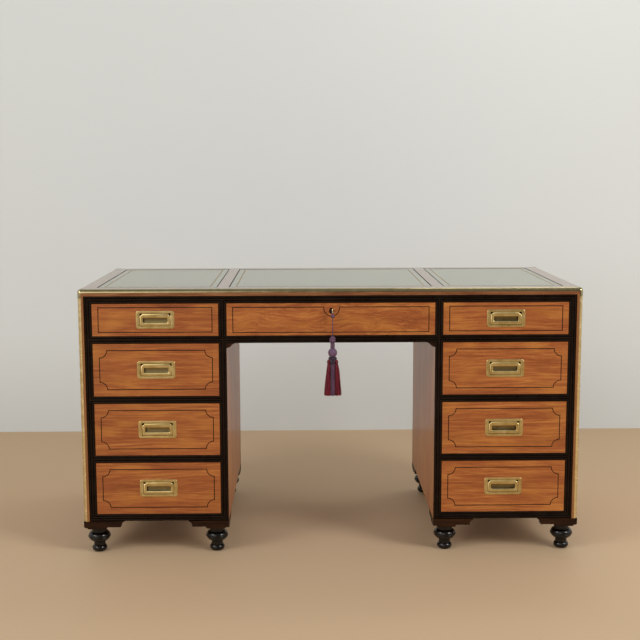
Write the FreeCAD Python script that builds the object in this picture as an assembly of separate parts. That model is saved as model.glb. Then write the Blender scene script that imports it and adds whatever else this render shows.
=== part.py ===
import FreeCAD, Part
import os

# Pedestal writing desk in the campaign manner: two pedestals of drawers under one leather-lined top.
# The front faces -Y, +Z is up, and the origin is on the floor under the middle of the desk.
# All sizes are in millimetres.

# Layout of the front, across and upwards
kneehole_width = 589.0
drawer_opening_width = 356.0
stile_width = 21.5
side_thickness = 16.5
desk_depth = 650.0
foot_height = 74.0
bracket_height = 23.0
rail_height = 21.0
drawer_opening_height = 151.0
frieze_opening_height = 92.5
top_thickness = 19.5
drawers_under_frieze = 3

# Top: inlaid surface, brass edge and corner caps
inlay_thickness = 3.0
leather_thickness = 2.6
border_width = 40.0
dividing_band_width = 38.0
brass_size = 10.0
cap_leg = 25.0

# Reeded frame round the drawer openings
frame_setback = 2.0
frame_thickness = 8.0
reed_height = 3.0
reed_count = 3

# Carcass fittings: guides, stops and rear panels
guide_height = 30.0
stop_width = 40.0
stop_depth = 18.0
stop_height = 6.0
stop_place_share = 0.28
rear_panel_thickness = 15.0

# Drawers
drawer_setback = 4.5
drawer_gap = 1.0
drawer_run_clearance = 0.3
drawer_space_behind = 56.0
drawer_front_thickness = 20.0
drawer_side_thickness = 11.0
drawer_side_drop = 5.0
drawer_back_drop = 9.0
drawer_bottom_thickness = 6.0
drawer_bottom_rise = 9.0
drawer_groove_depth = 5.0

# Flush handles: plate with a dished pocket
plate_width = 108.0
plate_height = 51.0
plate_thickness = 3.0
plate_proud = 1.2
plate_corner = 8.0
plate_edge_round = 0.9
plate_seat_clearance = 0.2
pocket_width = 87.5
pocket_height = 36.5
pocket_rim_depth = 9.8
pocket_depth = 13.0
pocket_wall = 1.5
pocket_end_wall = 4.0

# Flush handles: bail and its pins
bail_clearance = 0.6
bail_sink = 0.2
bail_thickness = 5.0
bail_arm = 8.5
bail_grip = 9.4
bail_slot_height = 14.0
bail_shoulder = 7.0
bail_edge_round = 0.8
knuckle_radius = 4.0
pin_radius = 1.6
pin_length = 3.0
pin_clearance = 0.06

# Flush handles: countersunk screws
screw_end_inset = 5.1
screw_spacing = 32.0
screw_head_radius = 2.3
screw_head_depth = 1.3
screw_shank_radius = 1.1
screw_length = 10.0
screw_slot_width = 0.7
screw_slot_depth = 0.6
screw_clearance = 0.05

# Lock, key and escutcheon of the wide drawer
keyhole_offset = 4.0
keyhole_drop = 21.0
keyhole_slot_width = 3.4
keyhole_slot_length = 8.0
keyhole_clearance = 0.5
escutcheon_wall = 1.4
escutcheon_depth = 2.0
escutcheon_proud = 0.3
lock_width = 52.0
lock_height = 42.0
lock_depth = 12.0
lock_wall = 1.5
bolt_width = 20.0
bolt_height = 13.0
bolt_depth = 6.0
bolt_clearance = 0.4
bolt_throw = 8.0
key_shaft_radius = 2.2
key_fit = 0.08
key_neck = 10.5
key_bow_radius = 4.0
key_bow_straight = 5.0
key_wire_radius = 1.5
key_bit_reach = 7.0
key_bit_thickness = 2.4
key_bit_length = 4.5

# Tassel on the key's bow
loop_radius = 3.3
loop_cord_radius = 1.3
knot_radius = 5.2
knot_height = 10.0
tassel_cord_length = 50.0
tassel_cord_radius = 1.3
knob_radius = 8.5
knob_height = 20.0
neck_radius = 5.8
neck_height = 16.0
ball_radius = 12.8
ball_height = 24.0
collar_radius = 12.2
collar_height = 14.0
skirt_top_radius = 17.3
skirt_bottom_radius = 24.0
skirt_length = 97.0
skirt_depth_share = 0.46

# Turned feet, base brackets and kneehole brackets
foot_inset = 37.0
foot_bun_radius = 32.3
foot_toe_radius = 21.5
foot_sole_radius = 13.0
foot_neck_radius = 16.6
foot_collar_radius = 21.5
foot_bun_bulge = 2.6
foot_ridge = 1.0
foot_toe_top_share = 0.255
foot_neck_top_share = 0.4
foot_bun_middle_share = 0.605
foot_bun_top_share = 0.79
foot_ridge_share = 0.02
bracket_length = 116.0
bracket_thickness = 24.0
bracket_wing_height = 17.0
bracket_pad_width = 50.0
bracket_slope = 6.0
bracket_end_slope = 11.0
bracket_end_bow_share = 0.62
kneehole_bracket_width = 27.0
kneehole_bracket_height = 14.0
kneehole_bracket_thickness = 12.0
kneehole_bow_share = 0.12

# Overrun of every cut past the face it leaves, and a quarter turn in degrees
cut_overrun = 2.0
quarter_turn = 90.0

# Shares that set how a moulding's end is cut: how far its upper or left edge, its middle and its
# other edge run on into the moulding that it meets
pointed_shares = (0.0, 0.5, 0.0)
mitred_first_shares = (1.0, 0.5, 0.0)
mitred_last_shares = (0.0, 0.5, 1.0)

# Places across the desk, on the right-hand side
Vector = FreeCAD.Vector
knee_x = kneehole_width / 2
opening_in_x = knee_x + stile_width
opening_out_x = opening_in_x + drawer_opening_width
side_in_x = opening_out_x + stile_width
outer_x = side_in_x + side_thickness
pedestal_x = (opening_in_x + opening_out_x) / 2

# Places from front to back
face_y = -desk_depth / 2
carcass_y = face_y + frame_setback + frame_thickness
drawer_y = face_y + drawer_setback
drawer_back_y = drawer_y + drawer_front_thickness
rear_panel_y = -drawer_y - rear_panel_thickness
drawer_end_y = rear_panel_y - drawer_space_behind

# Levels from the floor up
carcass_z = foot_height + bracket_height
storey = drawer_opening_height + rail_height
frieze_z = carcass_z + rail_height + drawers_under_frieze * storey
under_top_z = frieze_z + frieze_opening_height + rail_height
surface_z = under_top_z + top_thickness
inlay_z = surface_z - inlay_thickness
brass_z = surface_z - brass_size


def block(x0, x1, y0, y1, z0, z1):
    """Box between two opposite corners."""
    return Part.makeBox(x1 - x0, y1 - y0, z1 - z0, Vector(x0, y0, z0))


def prism(points, path):
    """Solid that carries a closed outline of points along a vector."""
    outline = Part.makePolygon(points + points[:1])
    return Part.Face(outline).extrude(path)


def mirrored_x(shapes):
    """The same pieces on the other side of the desk."""
    return [shape.mirror(Vector(0, 0, 0), Vector(1, 0, 0)) for shape in shapes]


def mirrored_y(shapes):
    """The same pieces on the other face of the desk."""
    return [shape.mirror(Vector(0, 0, 0), Vector(0, 1, 0)) for shape in shapes]


def both_sides(shapes):
    """Right-hand pieces with their left-hand copies."""
    return shapes + mirrored_x(shapes)


def four_corners(shapes):
    """Right front pieces with their copies at the other three corners."""
    right = shapes + mirrored_y(shapes)
    return both_sides(right)


def save(node, shapes):
    """Write one node, which holds one solid or a group of separate solids."""
    shape = shapes[0] if len(shapes) == 1 else Part.makeCompound(shapes)
    shape.exportStep("parts/" + node + ".step")


def opening_floor(level):
    """Height of a drawer opening's floor, with level 1 for the frieze drawer."""
    return frieze_z - (level - 1) * storey


def opening_height(level):
    """Height of a drawer opening."""
    return frieze_opening_height if level == 1 else drawer_opening_height


levels = range(1, drawers_under_frieze + 2)


# Top board with rebates for the brass along its upper edges and down its corners
def top_board():
    board = block(-outer_x, outer_x, face_y, -face_y, under_top_z, inlay_z)
    core = block(brass_size - outer_x, outer_x - brass_size, face_y + brass_size, -face_y - brass_size,
                 brass_z, inlay_z + cut_overrun)
    lip = block(-outer_x, outer_x, face_y, -face_y, brass_z, inlay_z + cut_overrun)
    corner = block(outer_x - brass_size, outer_x, face_y, face_y + brass_size, under_top_z, inlay_z)
    return board.cut(lip.cut(core)).cut(Part.makeCompound(four_corners([corner])))


# Crossbanded border, mitred at the corners, and the two bands between the leather panels
def top_banding():
    x_out = outer_x - brass_size
    y_out = -face_y - brass_size
    x_in = x_out - border_width
    y_in = y_out - border_width
    rise = Vector(0, 0, inlay_thickness)
    front = prism([Vector(-x_out, -y_out, inlay_z), Vector(x_out, -y_out, inlay_z),
                   Vector(x_in, -y_in, inlay_z), Vector(-x_in, -y_in, inlay_z)], rise)
    side = prism([Vector(x_out, -y_out, inlay_z), Vector(x_out, y_out, inlay_z),
                  Vector(x_in, y_in, inlay_z), Vector(x_in, -y_in, inlay_z)], rise)
    middle = knee_x + stile_width / 2
    band = block(middle - dividing_band_width / 2, middle + dividing_band_width / 2, -y_in, y_in,
                 inlay_z, surface_z)
    return [front] + mirrored_y([front]) + both_sides([side, band])


# Leather panels, let in a little below the wood round them
def leather_panels():
    x_in = outer_x - brass_size - border_width
    y_in = -face_y - brass_size - border_width
    band_in = knee_x + stile_width / 2 - dividing_band_width / 2
    top_z = inlay_z + leather_thickness
    centre = block(-band_in, band_in, -y_in, y_in, inlay_z, top_z)
    right = block(band_in + dividing_band_width, x_in, -y_in, y_in, inlay_z, top_z)
    return [centre] + both_sides([right])


def quarter_round(centre, length, across, along, upward):
    """Quarter-round brass, from the line through its centre along one direction."""
    start = centre + across * brass_size
    end = centre + upward * brass_size
    middle = centre + (across + upward).normalize() * brass_size
    arc = Part.Arc(start, middle, end).toShape()
    edges = [Part.makeLine(centre, start), arc, Part.makeLine(end, centre)]
    return Part.Face(Part.Wire(edges)).extrude(along * length)


# Directions used by the brass
right_way = Vector(1, 0, 0)
front_way = Vector(0, -1, 0)
up_way = Vector(0, 0, 1)
down_way = Vector(0, 0, -1)
cap_centre = Vector(outer_x - brass_size, face_y + brass_size, brass_z)
cap_run = cap_leg - brass_size


# Brass strips along the four edges of the top
def brass_top_edge():
    front_start = Vector(cap_run - cap_centre.x, cap_centre.y, brass_z)
    front = quarter_round(front_start, -2 * front_start.x, front_way, right_way, up_way)
    side_start = Vector(cap_centre.x, -cap_centre.y - cap_run, brass_z)
    side = quarter_round(side_start, 2 * side_start.y, right_way, front_way, up_way)
    return [front] + mirrored_y([front]) + both_sides([side])


# Rounded cap where three brass strips meet
def brass_corner_cap():
    ball = Part.makeSphere(brass_size, cap_centre)
    reach = brass_size + cut_overrun
    octant = block(cap_centre.x, cap_centre.x + reach, cap_centre.y - reach, cap_centre.y,
                   brass_z, brass_z + reach)
    along_front = quarter_round(cap_centre, cap_run, front_way, -right_way, up_way)
    along_side = quarter_round(cap_centre, cap_run, right_way, -front_way, up_way)
    down_corner = quarter_round(cap_centre, cap_run, right_way, down_way, front_way)
    return ball.common(octant).multiFuse([along_front, along_side, down_corner]).removeSplitter()


# Brass strip down one outer corner of the carcass
def brass_corner_strip():
    start = Vector(cap_centre.x, cap_centre.y, carcass_z)
    return quarter_round(start, brass_z - cap_run - carcass_z, right_way, up_way, front_way)


# Outer side board with rebates for the two brass corner strips
def outer_side():
    board = block(side_in_x, outer_x, face_y, -face_y, carcass_z, under_top_z)
    rebate = block(outer_x - brass_size, outer_x, face_y, face_y + brass_size, carcass_z, under_top_z)
    return board.cut(Part.makeCompound([rebate] + mirrored_y([rebate])))


# Side board that stands between a pedestal and the kneehole
def inner_side():
    return block(knee_x, opening_in_x, carcass_y, -carcass_y, carcass_z, under_top_z)


# Boards that lie across a pedestal, under a given height
def pedestal_shelf(upper_z):
    return block(opening_in_x, side_in_x, carcass_y, -carcass_y, upper_z - rail_height, upper_z)


# Board that closes the frieze above or below the wide drawer
def kneehole_shelf(upper_z):
    return block(-knee_x, knee_x, carcass_y, -carcass_y, upper_z - rail_height, upper_z)


def dust_boards():
    dividers = [pedestal_shelf(opening_floor(level)) for level in levels[:-1]]
    return both_sides(dividers) + [kneehole_shelf(frieze_z)]


# Carcass tops, with a mortise over the wide drawer for the lock's bolt
def carcass_tops():
    half = bolt_width / 2 + bolt_clearance
    depth = bolt_throw - drawer_gap + bolt_clearance
    low = under_top_z - rail_height
    mortise = block(keyhole_offset - half, keyhole_offset + half, bolt_y - bolt_clearance,
                    bolt_y + bolt_depth + bolt_clearance, low, low + depth)
    return both_sides([pedestal_shelf(under_top_z)]) + [kneehole_shelf(under_top_z).cut(mortise)]


# Guides beside the outer stiles and stops behind the drawer fronts
def guides_and_stops():
    right = []
    reach = drawer_opening_width * stop_place_share
    for level in levels:
        floor = opening_floor(level)
        right.append(block(opening_out_x, side_in_x, carcass_y, -carcass_y, floor, floor + guide_height))
        for place in (pedestal_x - reach, pedestal_x + reach):
            right.append(drawer_stop(place, floor))
    centre = drawer_stop(kneehole_width * stop_place_share, frieze_z)
    return both_sides(right + [centre])


def drawer_stop(place, floor):
    return block(place - stop_width / 2, place + stop_width / 2, drawer_back_y, drawer_back_y + stop_depth,
                 floor, floor + stop_height)


# Fixed panels that fill the openings of the rear frame
def rear_panels():
    outer = rear_panel_y + rear_panel_thickness
    right = [block(opening_in_x, opening_out_x, rear_panel_y, outer, opening_floor(level),
                   opening_floor(level) + opening_height(level)) for level in levels]
    centre = block(-knee_x, knee_x, rear_panel_y, outer, frieze_z, frieze_z + frieze_opening_height)
    return both_sides(right) + [centre]


def reeded_bar(start, across, along):
    """Moulding with round reeds on its front, from its back edge, across its width and along its run."""
    step = across / reed_count
    valley = Vector(0, reed_height - frame_thickness, 0)
    crest = valley - Vector(0, reed_height, 0)
    edges = [Part.makeLine(start, start + valley)]
    for reed in range(reed_count):
        first = start + step * reed
        last = first + step
        edges.append(Part.Arc(first + valley, (first + last) / 2 + crest, last + valley).toShape())
    edges.append(Part.makeLine(start + across + valley, start + across))
    edges.append(Part.makeLine(start + across, start))
    return Part.Face(Part.Wire(edges)).extrude(along)


def footprint(points):
    """Outline of a moulding on the front, carried through its whole thickness."""
    back = carcass_y + cut_overrun
    return prism([Vector(x, back, z) for x, z in points], Vector(0, face_y - back, 0))


def rail_footprint(x0, x1, z0, left_shares, right_shares):
    """Outline of a rail whose ends run on into the stiles by shares of their width."""
    heights = (z0 + rail_height, z0 + rail_height / 2, z0)
    left = [(x0 - share * stile_width, z) for share, z in zip(left_shares, heights)]
    right = [(x1 + share * stile_width, z) for share, z in zip(right_shares, heights)]
    return footprint(left + right[::-1])


def rail(x0, x1, z0, shape):
    """Reeded rail cut to its footprint."""
    start = Vector(x0 - stile_width, carcass_y, z0)
    run = Vector(x1 - x0 + 2 * stile_width, 0, 0)
    return reeded_bar(start, Vector(0, 0, rail_height), run).common(shape)


def stile(x0, z0, z1, lower_shares, upper_shares, notches):
    """Reeded stile whose ends run on into the rails, notched where pointed rails meet it."""
    places = (x0, x0 + stile_width / 2, x0 + stile_width)
    lower = [(x, z0 - share * rail_height) for share, x in zip(lower_shares, places)]
    upper = [(x, z1 + share * rail_height) for share, x in zip(upper_shares, places)]
    start = Vector(x0, carcass_y, z0 - rail_height)
    run = Vector(0, 0, z1 - z0 + 2 * rail_height)
    bar = reeded_bar(start, Vector(stile_width, 0, 0), run).common(footprint(lower + upper[::-1]))
    return bar.cut(Part.makeCompound(notches)) if notches else bar


# One face's frame: mitred at its corners, with pointed ends where a moulding meets another's side
def reeded_frame():
    frieze_top = frieze_z + frieze_opening_height
    opening_base = carcass_z + rail_height
    cross_z = frieze_z - rail_height
    divider_floors = [opening_floor(level) - rail_height for level in levels[:-1]]
    points = [rail_footprint(opening_in_x, opening_out_x, z, pointed_shares, pointed_shares)
              for z in divider_floors]
    dividers = [rail(opening_in_x, opening_out_x, z, shape) for z, shape in zip(divider_floors, points)]
    base_shape = rail_footprint(opening_in_x, opening_out_x, carcass_z,
                                mitred_last_shares, mitred_last_shares)
    base = rail(opening_in_x, opening_out_x, carcass_z, base_shape)
    outer = stile(opening_out_x, opening_base, frieze_top, mitred_last_shares, mitred_last_shares, points)
    lower = stile(knee_x, opening_base, cross_z, mitred_first_shares, pointed_shares, points[1:])
    upper = stile(knee_x, frieze_z, frieze_top, pointed_shares, pointed_shares, [])
    soffit_shape = rail_footprint(-knee_x, knee_x, cross_z, pointed_shares, pointed_shares)
    soffit = rail(-knee_x, knee_x, cross_z, soffit_shape)
    top_shape = rail_footprint(-opening_out_x, opening_out_x, frieze_top, mitred_first_shares,
                               mitred_first_shares)
    top = rail(-opening_out_x, opening_out_x, frieze_top, top_shape)
    top = top.cut(Part.makeCompound(both_sides([upper_stile_point(frieze_top)])))
    return both_sides(dividers + [base, outer, lower, upper]) + [soffit, top]


def upper_stile_point(frieze_top):
    """Pointed end of the inner stile, where the top rail is notched for it."""
    middle = (knee_x + stile_width / 2, frieze_top + rail_height / 2)
    return footprint([(knee_x, frieze_top), middle, (opening_in_x, frieze_top)])


def rounded_plate(width, height, corner, y0, y1):
    """Upright plate with round corners, centred on the handle."""
    plate = block(-width / 2, width / 2, y0, y1, -height / 2, height / 2)
    corner_edges = [edge for edge in plate.Edges if edge.BoundBox.YLength > (y1 - y0) / 2]
    return plate.makeFillet(corner, corner_edges)


def screw_places():
    """Centres of the four screws on the plate."""
    x = plate_width / 2 - screw_end_inset
    z = screw_spacing / 2
    return [Vector(sx * x, -plate_proud, sz * z) for sx in (-1, 1) for sz in (-1, 1)]


def screw_body(place, growth):
    """Countersunk head and shank, grown by a clearance for the hole that takes them."""
    back_way = -front_way
    shank = screw_shank_radius + growth
    head = Part.makeCone(screw_head_radius + growth, shank, screw_head_depth, place, back_way)
    rod = Part.makeCylinder(shank, screw_length + growth, place, back_way)
    return head.fuse(rod).removeSplitter()


def handle_screw(place):
    """Countersunk screw with a slot across its head."""
    half = screw_head_radius + cut_overrun
    slot = block(place.x - half, place.x + half, place.y - cut_overrun, place.y + screw_slot_depth,
                 place.z - screw_slot_width / 2, place.z + screw_slot_width / 2)
    return screw_body(place, 0).cut(slot)


# Pivot of the bail and the back of the plate's cup, measured from the drawer's face
pivot_z = pocket_height / 2 - bail_clearance - knuckle_radius
pivot_y = bail_sink - plate_proud + knuckle_radius
cup_back_y = pocket_depth + pocket_wall - plate_proud
rim_back_y = plate_thickness - plate_proud


def pocket():
    """Space in the plate: straight sides and a floor that is dished along its length."""
    half = pocket_height / 2
    mouth = -plate_proud - cut_overrun
    rim = pocket_rim_depth - plate_proud
    start = -pocket_width / 2
    corners = [Vector(start, rim, -half), Vector(start, mouth, -half),
               Vector(start, mouth, half), Vector(start, rim, half)]
    edges = [Part.makeLine(a, b) for a, b in zip(corners, corners[1:])]
    edges.append(Part.Arc(corners[3], Vector(start, pocket_depth - plate_proud, 0), corners[0]).toShape())
    return Part.Face(Part.Wire(edges)).extrude(Vector(pocket_width, 0, 0))


def pivot_rod(radius, half_length):
    """Rod along the bail's pivot."""
    return Part.makeCylinder(radius, 2 * half_length, Vector(-half_length, pivot_y, pivot_z), right_way)


def cup_block(growth):
    """Outside of the plate's cup, grown by a clearance for the mortise that takes it."""
    half_w = pocket_width / 2 + pocket_end_wall + growth
    half_h = pocket_height / 2 + pocket_wall + growth
    return block(-half_w, half_w, 0, cup_back_y + growth, -half_h, half_h)


# Brass plate with its cup, pin holes and screw holes
def handle_plate():
    rim = rounded_plate(plate_width, plate_height, plate_corner, -plate_proud, rim_back_y)
    front_edges = [edge for edge in rim.Edges if edge.BoundBox.YMax < rim_back_y - plate_edge_round]
    rim = rim.makeFillet(plate_edge_round, front_edges)
    holes = [screw_body(place, screw_clearance) for place in screw_places()]
    holes.append(pivot_rod(pin_radius + pin_clearance, pocket_width / 2 + pin_length + pin_clearance))
    return rim.fuse(cup_block(0)).removeSplitter().cut(pocket()).cut(Part.makeCompound(holes))


# Cut in a drawer front that takes the plate, its cup and its screws
def handle_mortise():
    grown = 2 * plate_seat_clearance
    rebate = rounded_plate(plate_width + grown, plate_height + grown, plate_corner + plate_seat_clearance,
                           -cut_overrun, rim_back_y)
    holes = [screw_body(place, screw_clearance) for place in screw_places()]
    return rebate.multiFuse([cup_block(plate_seat_clearance)] + holes)


# Bail: a slotted grip with a round knuckle along its top and a pin at each end
def bail():
    half = pocket_width / 2 - bail_clearance
    bottom = bail_clearance - pocket_height / 2
    front = bail_sink - plate_proud
    back = front + bail_thickness
    slot_z = bottom + bail_grip
    slot_top = slot_z + bail_slot_height
    leaf = block(-half, half, front, back, bottom, pivot_z)
    slot = block(bail_arm - half, half - bail_arm, front - cut_overrun, back + cut_overrun,
                 slot_z, slot_top)
    grip = leaf.cut(slot)
    front_edges = [edge for edge in grip.Edges if edge.BoundBox.YMax < (front + back) / 2
                   and edge.BoundBox.ZMin < (slot_top + pivot_z) / 2]
    grip = grip.makeFillet(bail_edge_round, front_edges)
    shoulder = block(half - bail_shoulder, half, front, back, pivot_z, pivot_z + pin_radius)
    knuckle = pivot_rod(knuckle_radius, half - bail_shoulder)
    pins = pivot_rod(pin_radius, pocket_width / 2 + pin_length)
    return grip.multiFuse(both_sides([shoulder]) + [knuckle, pins]).removeSplitter()


def drawer_boards(width, floor, height):
    """Front, and box boards, of a drawer centred across its opening."""
    half = width / 2 - drawer_gap
    base = floor + drawer_run_clearance
    front_top = floor + height - drawer_gap
    front = block(-half, half, drawer_y, drawer_back_y, base, front_top)
    side_top = front_top - drawer_side_drop
    inner = half - drawer_side_thickness
    bottom_z = base + drawer_bottom_rise
    panel_z = bottom_z + drawer_bottom_thickness
    bottom = block(-inner - drawer_groove_depth, inner + drawer_groove_depth, drawer_back_y, drawer_end_y,
                   bottom_z, panel_z)
    side = block(inner, half, drawer_back_y, drawer_end_y, base, side_top).cut(bottom)
    back = block(-inner, inner, drawer_end_y - drawer_side_thickness, drawer_end_y,
                 panel_z, side_top - drawer_back_drop)
    return front, both_sides([side]) + [back, bottom]


# One pedestal drawer with its flush handle
def pedestal_drawer(name, place, level):
    floor = opening_floor(level)
    height = opening_height(level)
    front, box = drawer_boards(drawer_opening_width, floor, height)
    seat = Vector(0, drawer_y, floor + height / 2)
    across = Vector(place, 0, 0)
    save(name + "_front", [front.cut(handle_mortise().translated(seat)).translated(across)])
    save(name + "_box", [board.translated(across) for board in box])
    plate = [handle_plate()] + [handle_screw(spot) for spot in screw_places()]
    save(name + "_handle_plate", [piece.translated(seat + across) for piece in plate])
    save(name + "_bail", [bail().translated(seat + across)])


# Places of the lock and key: the key's axis, and the bolt inside the case
drawer_top_z = frieze_z + frieze_opening_height - drawer_gap
key_z = drawer_top_z - keyhole_drop
lock_y = drawer_back_y - lock_depth
bolt_y = lock_y + (lock_depth - bolt_depth) / 2


def keyhole(growth, y0, y1):
    """Keyhole from one depth to another: a round hole with a slot below it."""
    radius = key_shaft_radius + keyhole_clearance + growth
    half = keyhole_slot_width / 2 + growth
    round_hole = Part.makeCylinder(radius, y1 - y0, Vector(keyhole_offset, y0, key_z), -front_way)
    slot = block(keyhole_offset - half, keyhole_offset + half, y0, y1,
                 key_z - keyhole_slot_length - growth, key_z)
    return round_hole.fuse(slot).removeSplitter()


def lock_outside():
    """Outside of the lock's case, let into the back of the drawer front."""
    return block(keyhole_offset - lock_width / 2, keyhole_offset + lock_width / 2, lock_y, drawer_back_y,
                 drawer_top_z - lock_height, drawer_top_z)


# Steel case with room for the bolt, a bearing hole for the key and a slot for the bolt's head
def lock_case():
    half = lock_width / 2 - lock_wall
    room = block(keyhole_offset - half, keyhole_offset + half, lock_y + lock_wall,
                 drawer_back_y - lock_wall, drawer_top_z - lock_height + lock_wall, drawer_top_z - lock_wall)
    reach = bolt_width / 2 + bolt_clearance
    mouth = block(keyhole_offset - reach, keyhole_offset + reach, bolt_y - bolt_clearance,
                  bolt_y + bolt_depth + bolt_clearance, drawer_top_z - lock_wall,
                  drawer_top_z + cut_overrun)
    bearing = Part.makeCylinder(key_shaft_radius + key_fit, lock_wall,
                                Vector(keyhole_offset, lock_y, key_z), -front_way)
    half_slot = keyhole_slot_width / 2
    slot = block(keyhole_offset - half_slot, keyhole_offset + half_slot, lock_y, lock_y + lock_wall,
                 key_z - keyhole_slot_length, key_z)
    return lock_outside().cut(Part.makeCompound([room, mouth, bearing.fuse(slot)]))


# Bolt that the key throws up into the carcass top
def lock_bolt():
    return block(keyhole_offset - bolt_width / 2, keyhole_offset + bolt_width / 2,
                 bolt_y, bolt_y + bolt_depth, drawer_top_z - bolt_height, drawer_top_z)


# Brass liner of the keyhole
def escutcheon():
    y0 = drawer_y - escutcheon_proud
    y1 = drawer_y + escutcheon_depth
    return keyhole(escutcheon_wall, y0, y1).cut(keyhole(0, y0, y1))


# Key: an oval ring bow that stands upright, a round shaft and a bit that points down
bow_y = drawer_y - key_neck - key_bow_radius - key_wire_radius


def key():
    centre = Vector(keyhole_offset, bow_y, key_z)
    rise = up_way * (key_bow_straight / 2)
    out = front_way * key_bow_radius
    disc = Part.Face(Part.Wire(Part.makeCircle(key_wire_radius, centre + out - rise, up_way)))
    front_side = disc.extrude(rise * 2)
    back_side = front_side.translated(out * -2)
    lower = disc.revolve(centre - rise, right_way, 2 * quarter_turn)
    upper = disc.translated(rise * 2).revolve(centre + rise, -right_way, 2 * quarter_turn)
    shaft_end = lock_y + lock_wall + key_bit_length
    shaft_start = bow_y + key_bow_radius
    shaft = Part.makeCylinder(key_shaft_radius, shaft_end - shaft_start,
                              Vector(keyhole_offset, shaft_start, key_z), -front_way)
    half = key_bit_thickness / 2
    bit = block(keyhole_offset - half, keyhole_offset + half, shaft_end - key_bit_length + key_fit,
                shaft_end, key_z - key_bit_reach, key_z)
    return shaft.multiFuse([bit, front_side, back_side, lower, upper]).removeSplitter()


# The wide drawer over the kneehole, with its lock
def centre_drawer():
    front, box = drawer_boards(kneehole_width, frieze_z, frieze_opening_height)
    liner = keyhole(escutcheon_wall, drawer_y, drawer_y + escutcheon_depth)
    front = front.cut(lock_outside()).cut(keyhole(0, drawer_y, lock_y).fuse(liner))
    save("centre_drawer_front", [front])
    save("centre_drawer_box", box)
    save("lock_case", [lock_case()])
    save("lock_bolt", [lock_bolt()])
    save("escutcheon", [escutcheon()])
    save("key", [key()])


def turned(points, middles, place):
    """Turned piece: a half outline of radius and height, with arcs where a middle point is given."""
    corners = [Vector(radius, 0, z) for radius, z in points]
    edges = []
    for first, last, middle in zip(corners, corners[1:], middles):
        if middle:
            edges.append(Part.Arc(first, Vector(middle[0], 0, middle[1]), last).toShape())
        else:
            edges.append(Part.makeLine(first, last))
    edges.append(Part.makeLine(corners[-1], corners[0]))
    return Part.Face(Part.Wire(edges)).revolve(Vector(0, 0, 0), up_way).translated(place)


# Levels of the tassel, hung from the lowest point of the key's bow
hook_z = key_z - key_bow_straight / 2 - key_bow_radius
knot_z = hook_z - loop_radius - knot_height
head_z = knot_z - tassel_cord_length
skirt_z = head_z - knob_height - neck_height - ball_height - collar_height
tassel_axis = Vector(keyhole_offset, bow_y, 0)


# Loop of cord round the bow's wire, gathered in a knot below it
def tassel_loop():
    ring = Part.makeTorus(loop_radius, loop_cord_radius, Vector(0, 0, hook_z), front_way)
    top = hook_z - loop_radius
    middle = top - knot_height / 2
    outline = [(0, knot_z), (tassel_cord_radius, knot_z), (loop_cord_radius, top), (0, top)]
    knot = turned(outline, [None, (knot_radius, middle), None], Vector(0, 0, 0))
    return ring.fuse(knot).removeSplitter().translated(tassel_axis)


# Straight cord between the knot and the head of the tassel
def tassel_cord():
    base = Vector(0, 0, head_z)
    return Part.makeCylinder(tassel_cord_radius, tassel_cord_length, base, up_way).translated(tassel_axis)


# Head of the tassel: knob, neck, ball and collar
def tassel_head():
    neck_z = head_z - knob_height
    ball_z = neck_z - neck_height
    collar_z = ball_z - ball_height
    points = [(0, skirt_z), (collar_radius, skirt_z), (neck_radius, collar_z), (neck_radius, ball_z),
              (neck_radius, neck_z), (tassel_cord_radius, head_z), (0, head_z)]
    middles = [None, (collar_radius, (skirt_z + collar_z) / 2), (ball_radius, (collar_z + ball_z) / 2),
               None, (knob_radius, (neck_z + head_z) / 2), None]
    return turned(points, middles, tassel_axis)


# Skirt of two hanks of thread side by side, wider at its foot and flatter from front to back
def tassel_skirt():
    ends = [(skirt_z - skirt_length, skirt_bottom_radius), (skirt_z, skirt_top_radius)]
    ovals = [Part.Ellipse(Vector(0, 0, z), radius, radius * skirt_depth_share) for z, radius in ends]
    wires = [Part.Wire(oval.toShape()) for oval in ovals]
    return Part.makeLoft(wires, True, True).translated(tassel_axis)


# Turned foot: toe, neck, ridged bun and collar
def foot(place):
    toe_z = foot_height * foot_toe_top_share
    neck_z = foot_height * foot_neck_top_share
    bun_z = foot_height * foot_bun_middle_share
    top_z = foot_height * foot_bun_top_share
    ridge = foot_height * foot_ridge_share
    crown = foot_bun_radius - foot_ridge
    points = [(0, 0), (foot_sole_radius, 0), (foot_neck_radius, toe_z), (foot_neck_radius, neck_z),
              (crown, bun_z - ridge), (crown, bun_z), (crown, bun_z + ridge), (foot_collar_radius, top_z),
              (foot_collar_radius, foot_height), (0, foot_height)]
    half = (foot_neck_radius + crown) / 2 + foot_bun_bulge
    upper = (foot_collar_radius + crown) / 2 + foot_bun_bulge
    middles = [None, (foot_toe_radius, toe_z / 2), None, (half, (neck_z + bun_z - ridge) / 2 - ridge),
               (foot_bun_radius, bun_z - ridge / 2), (foot_bun_radius, bun_z + ridge / 2),
               (upper, (top_z + bun_z + ridge) / 2 + ridge), None, None]
    return turned(points, middles, place)


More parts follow.
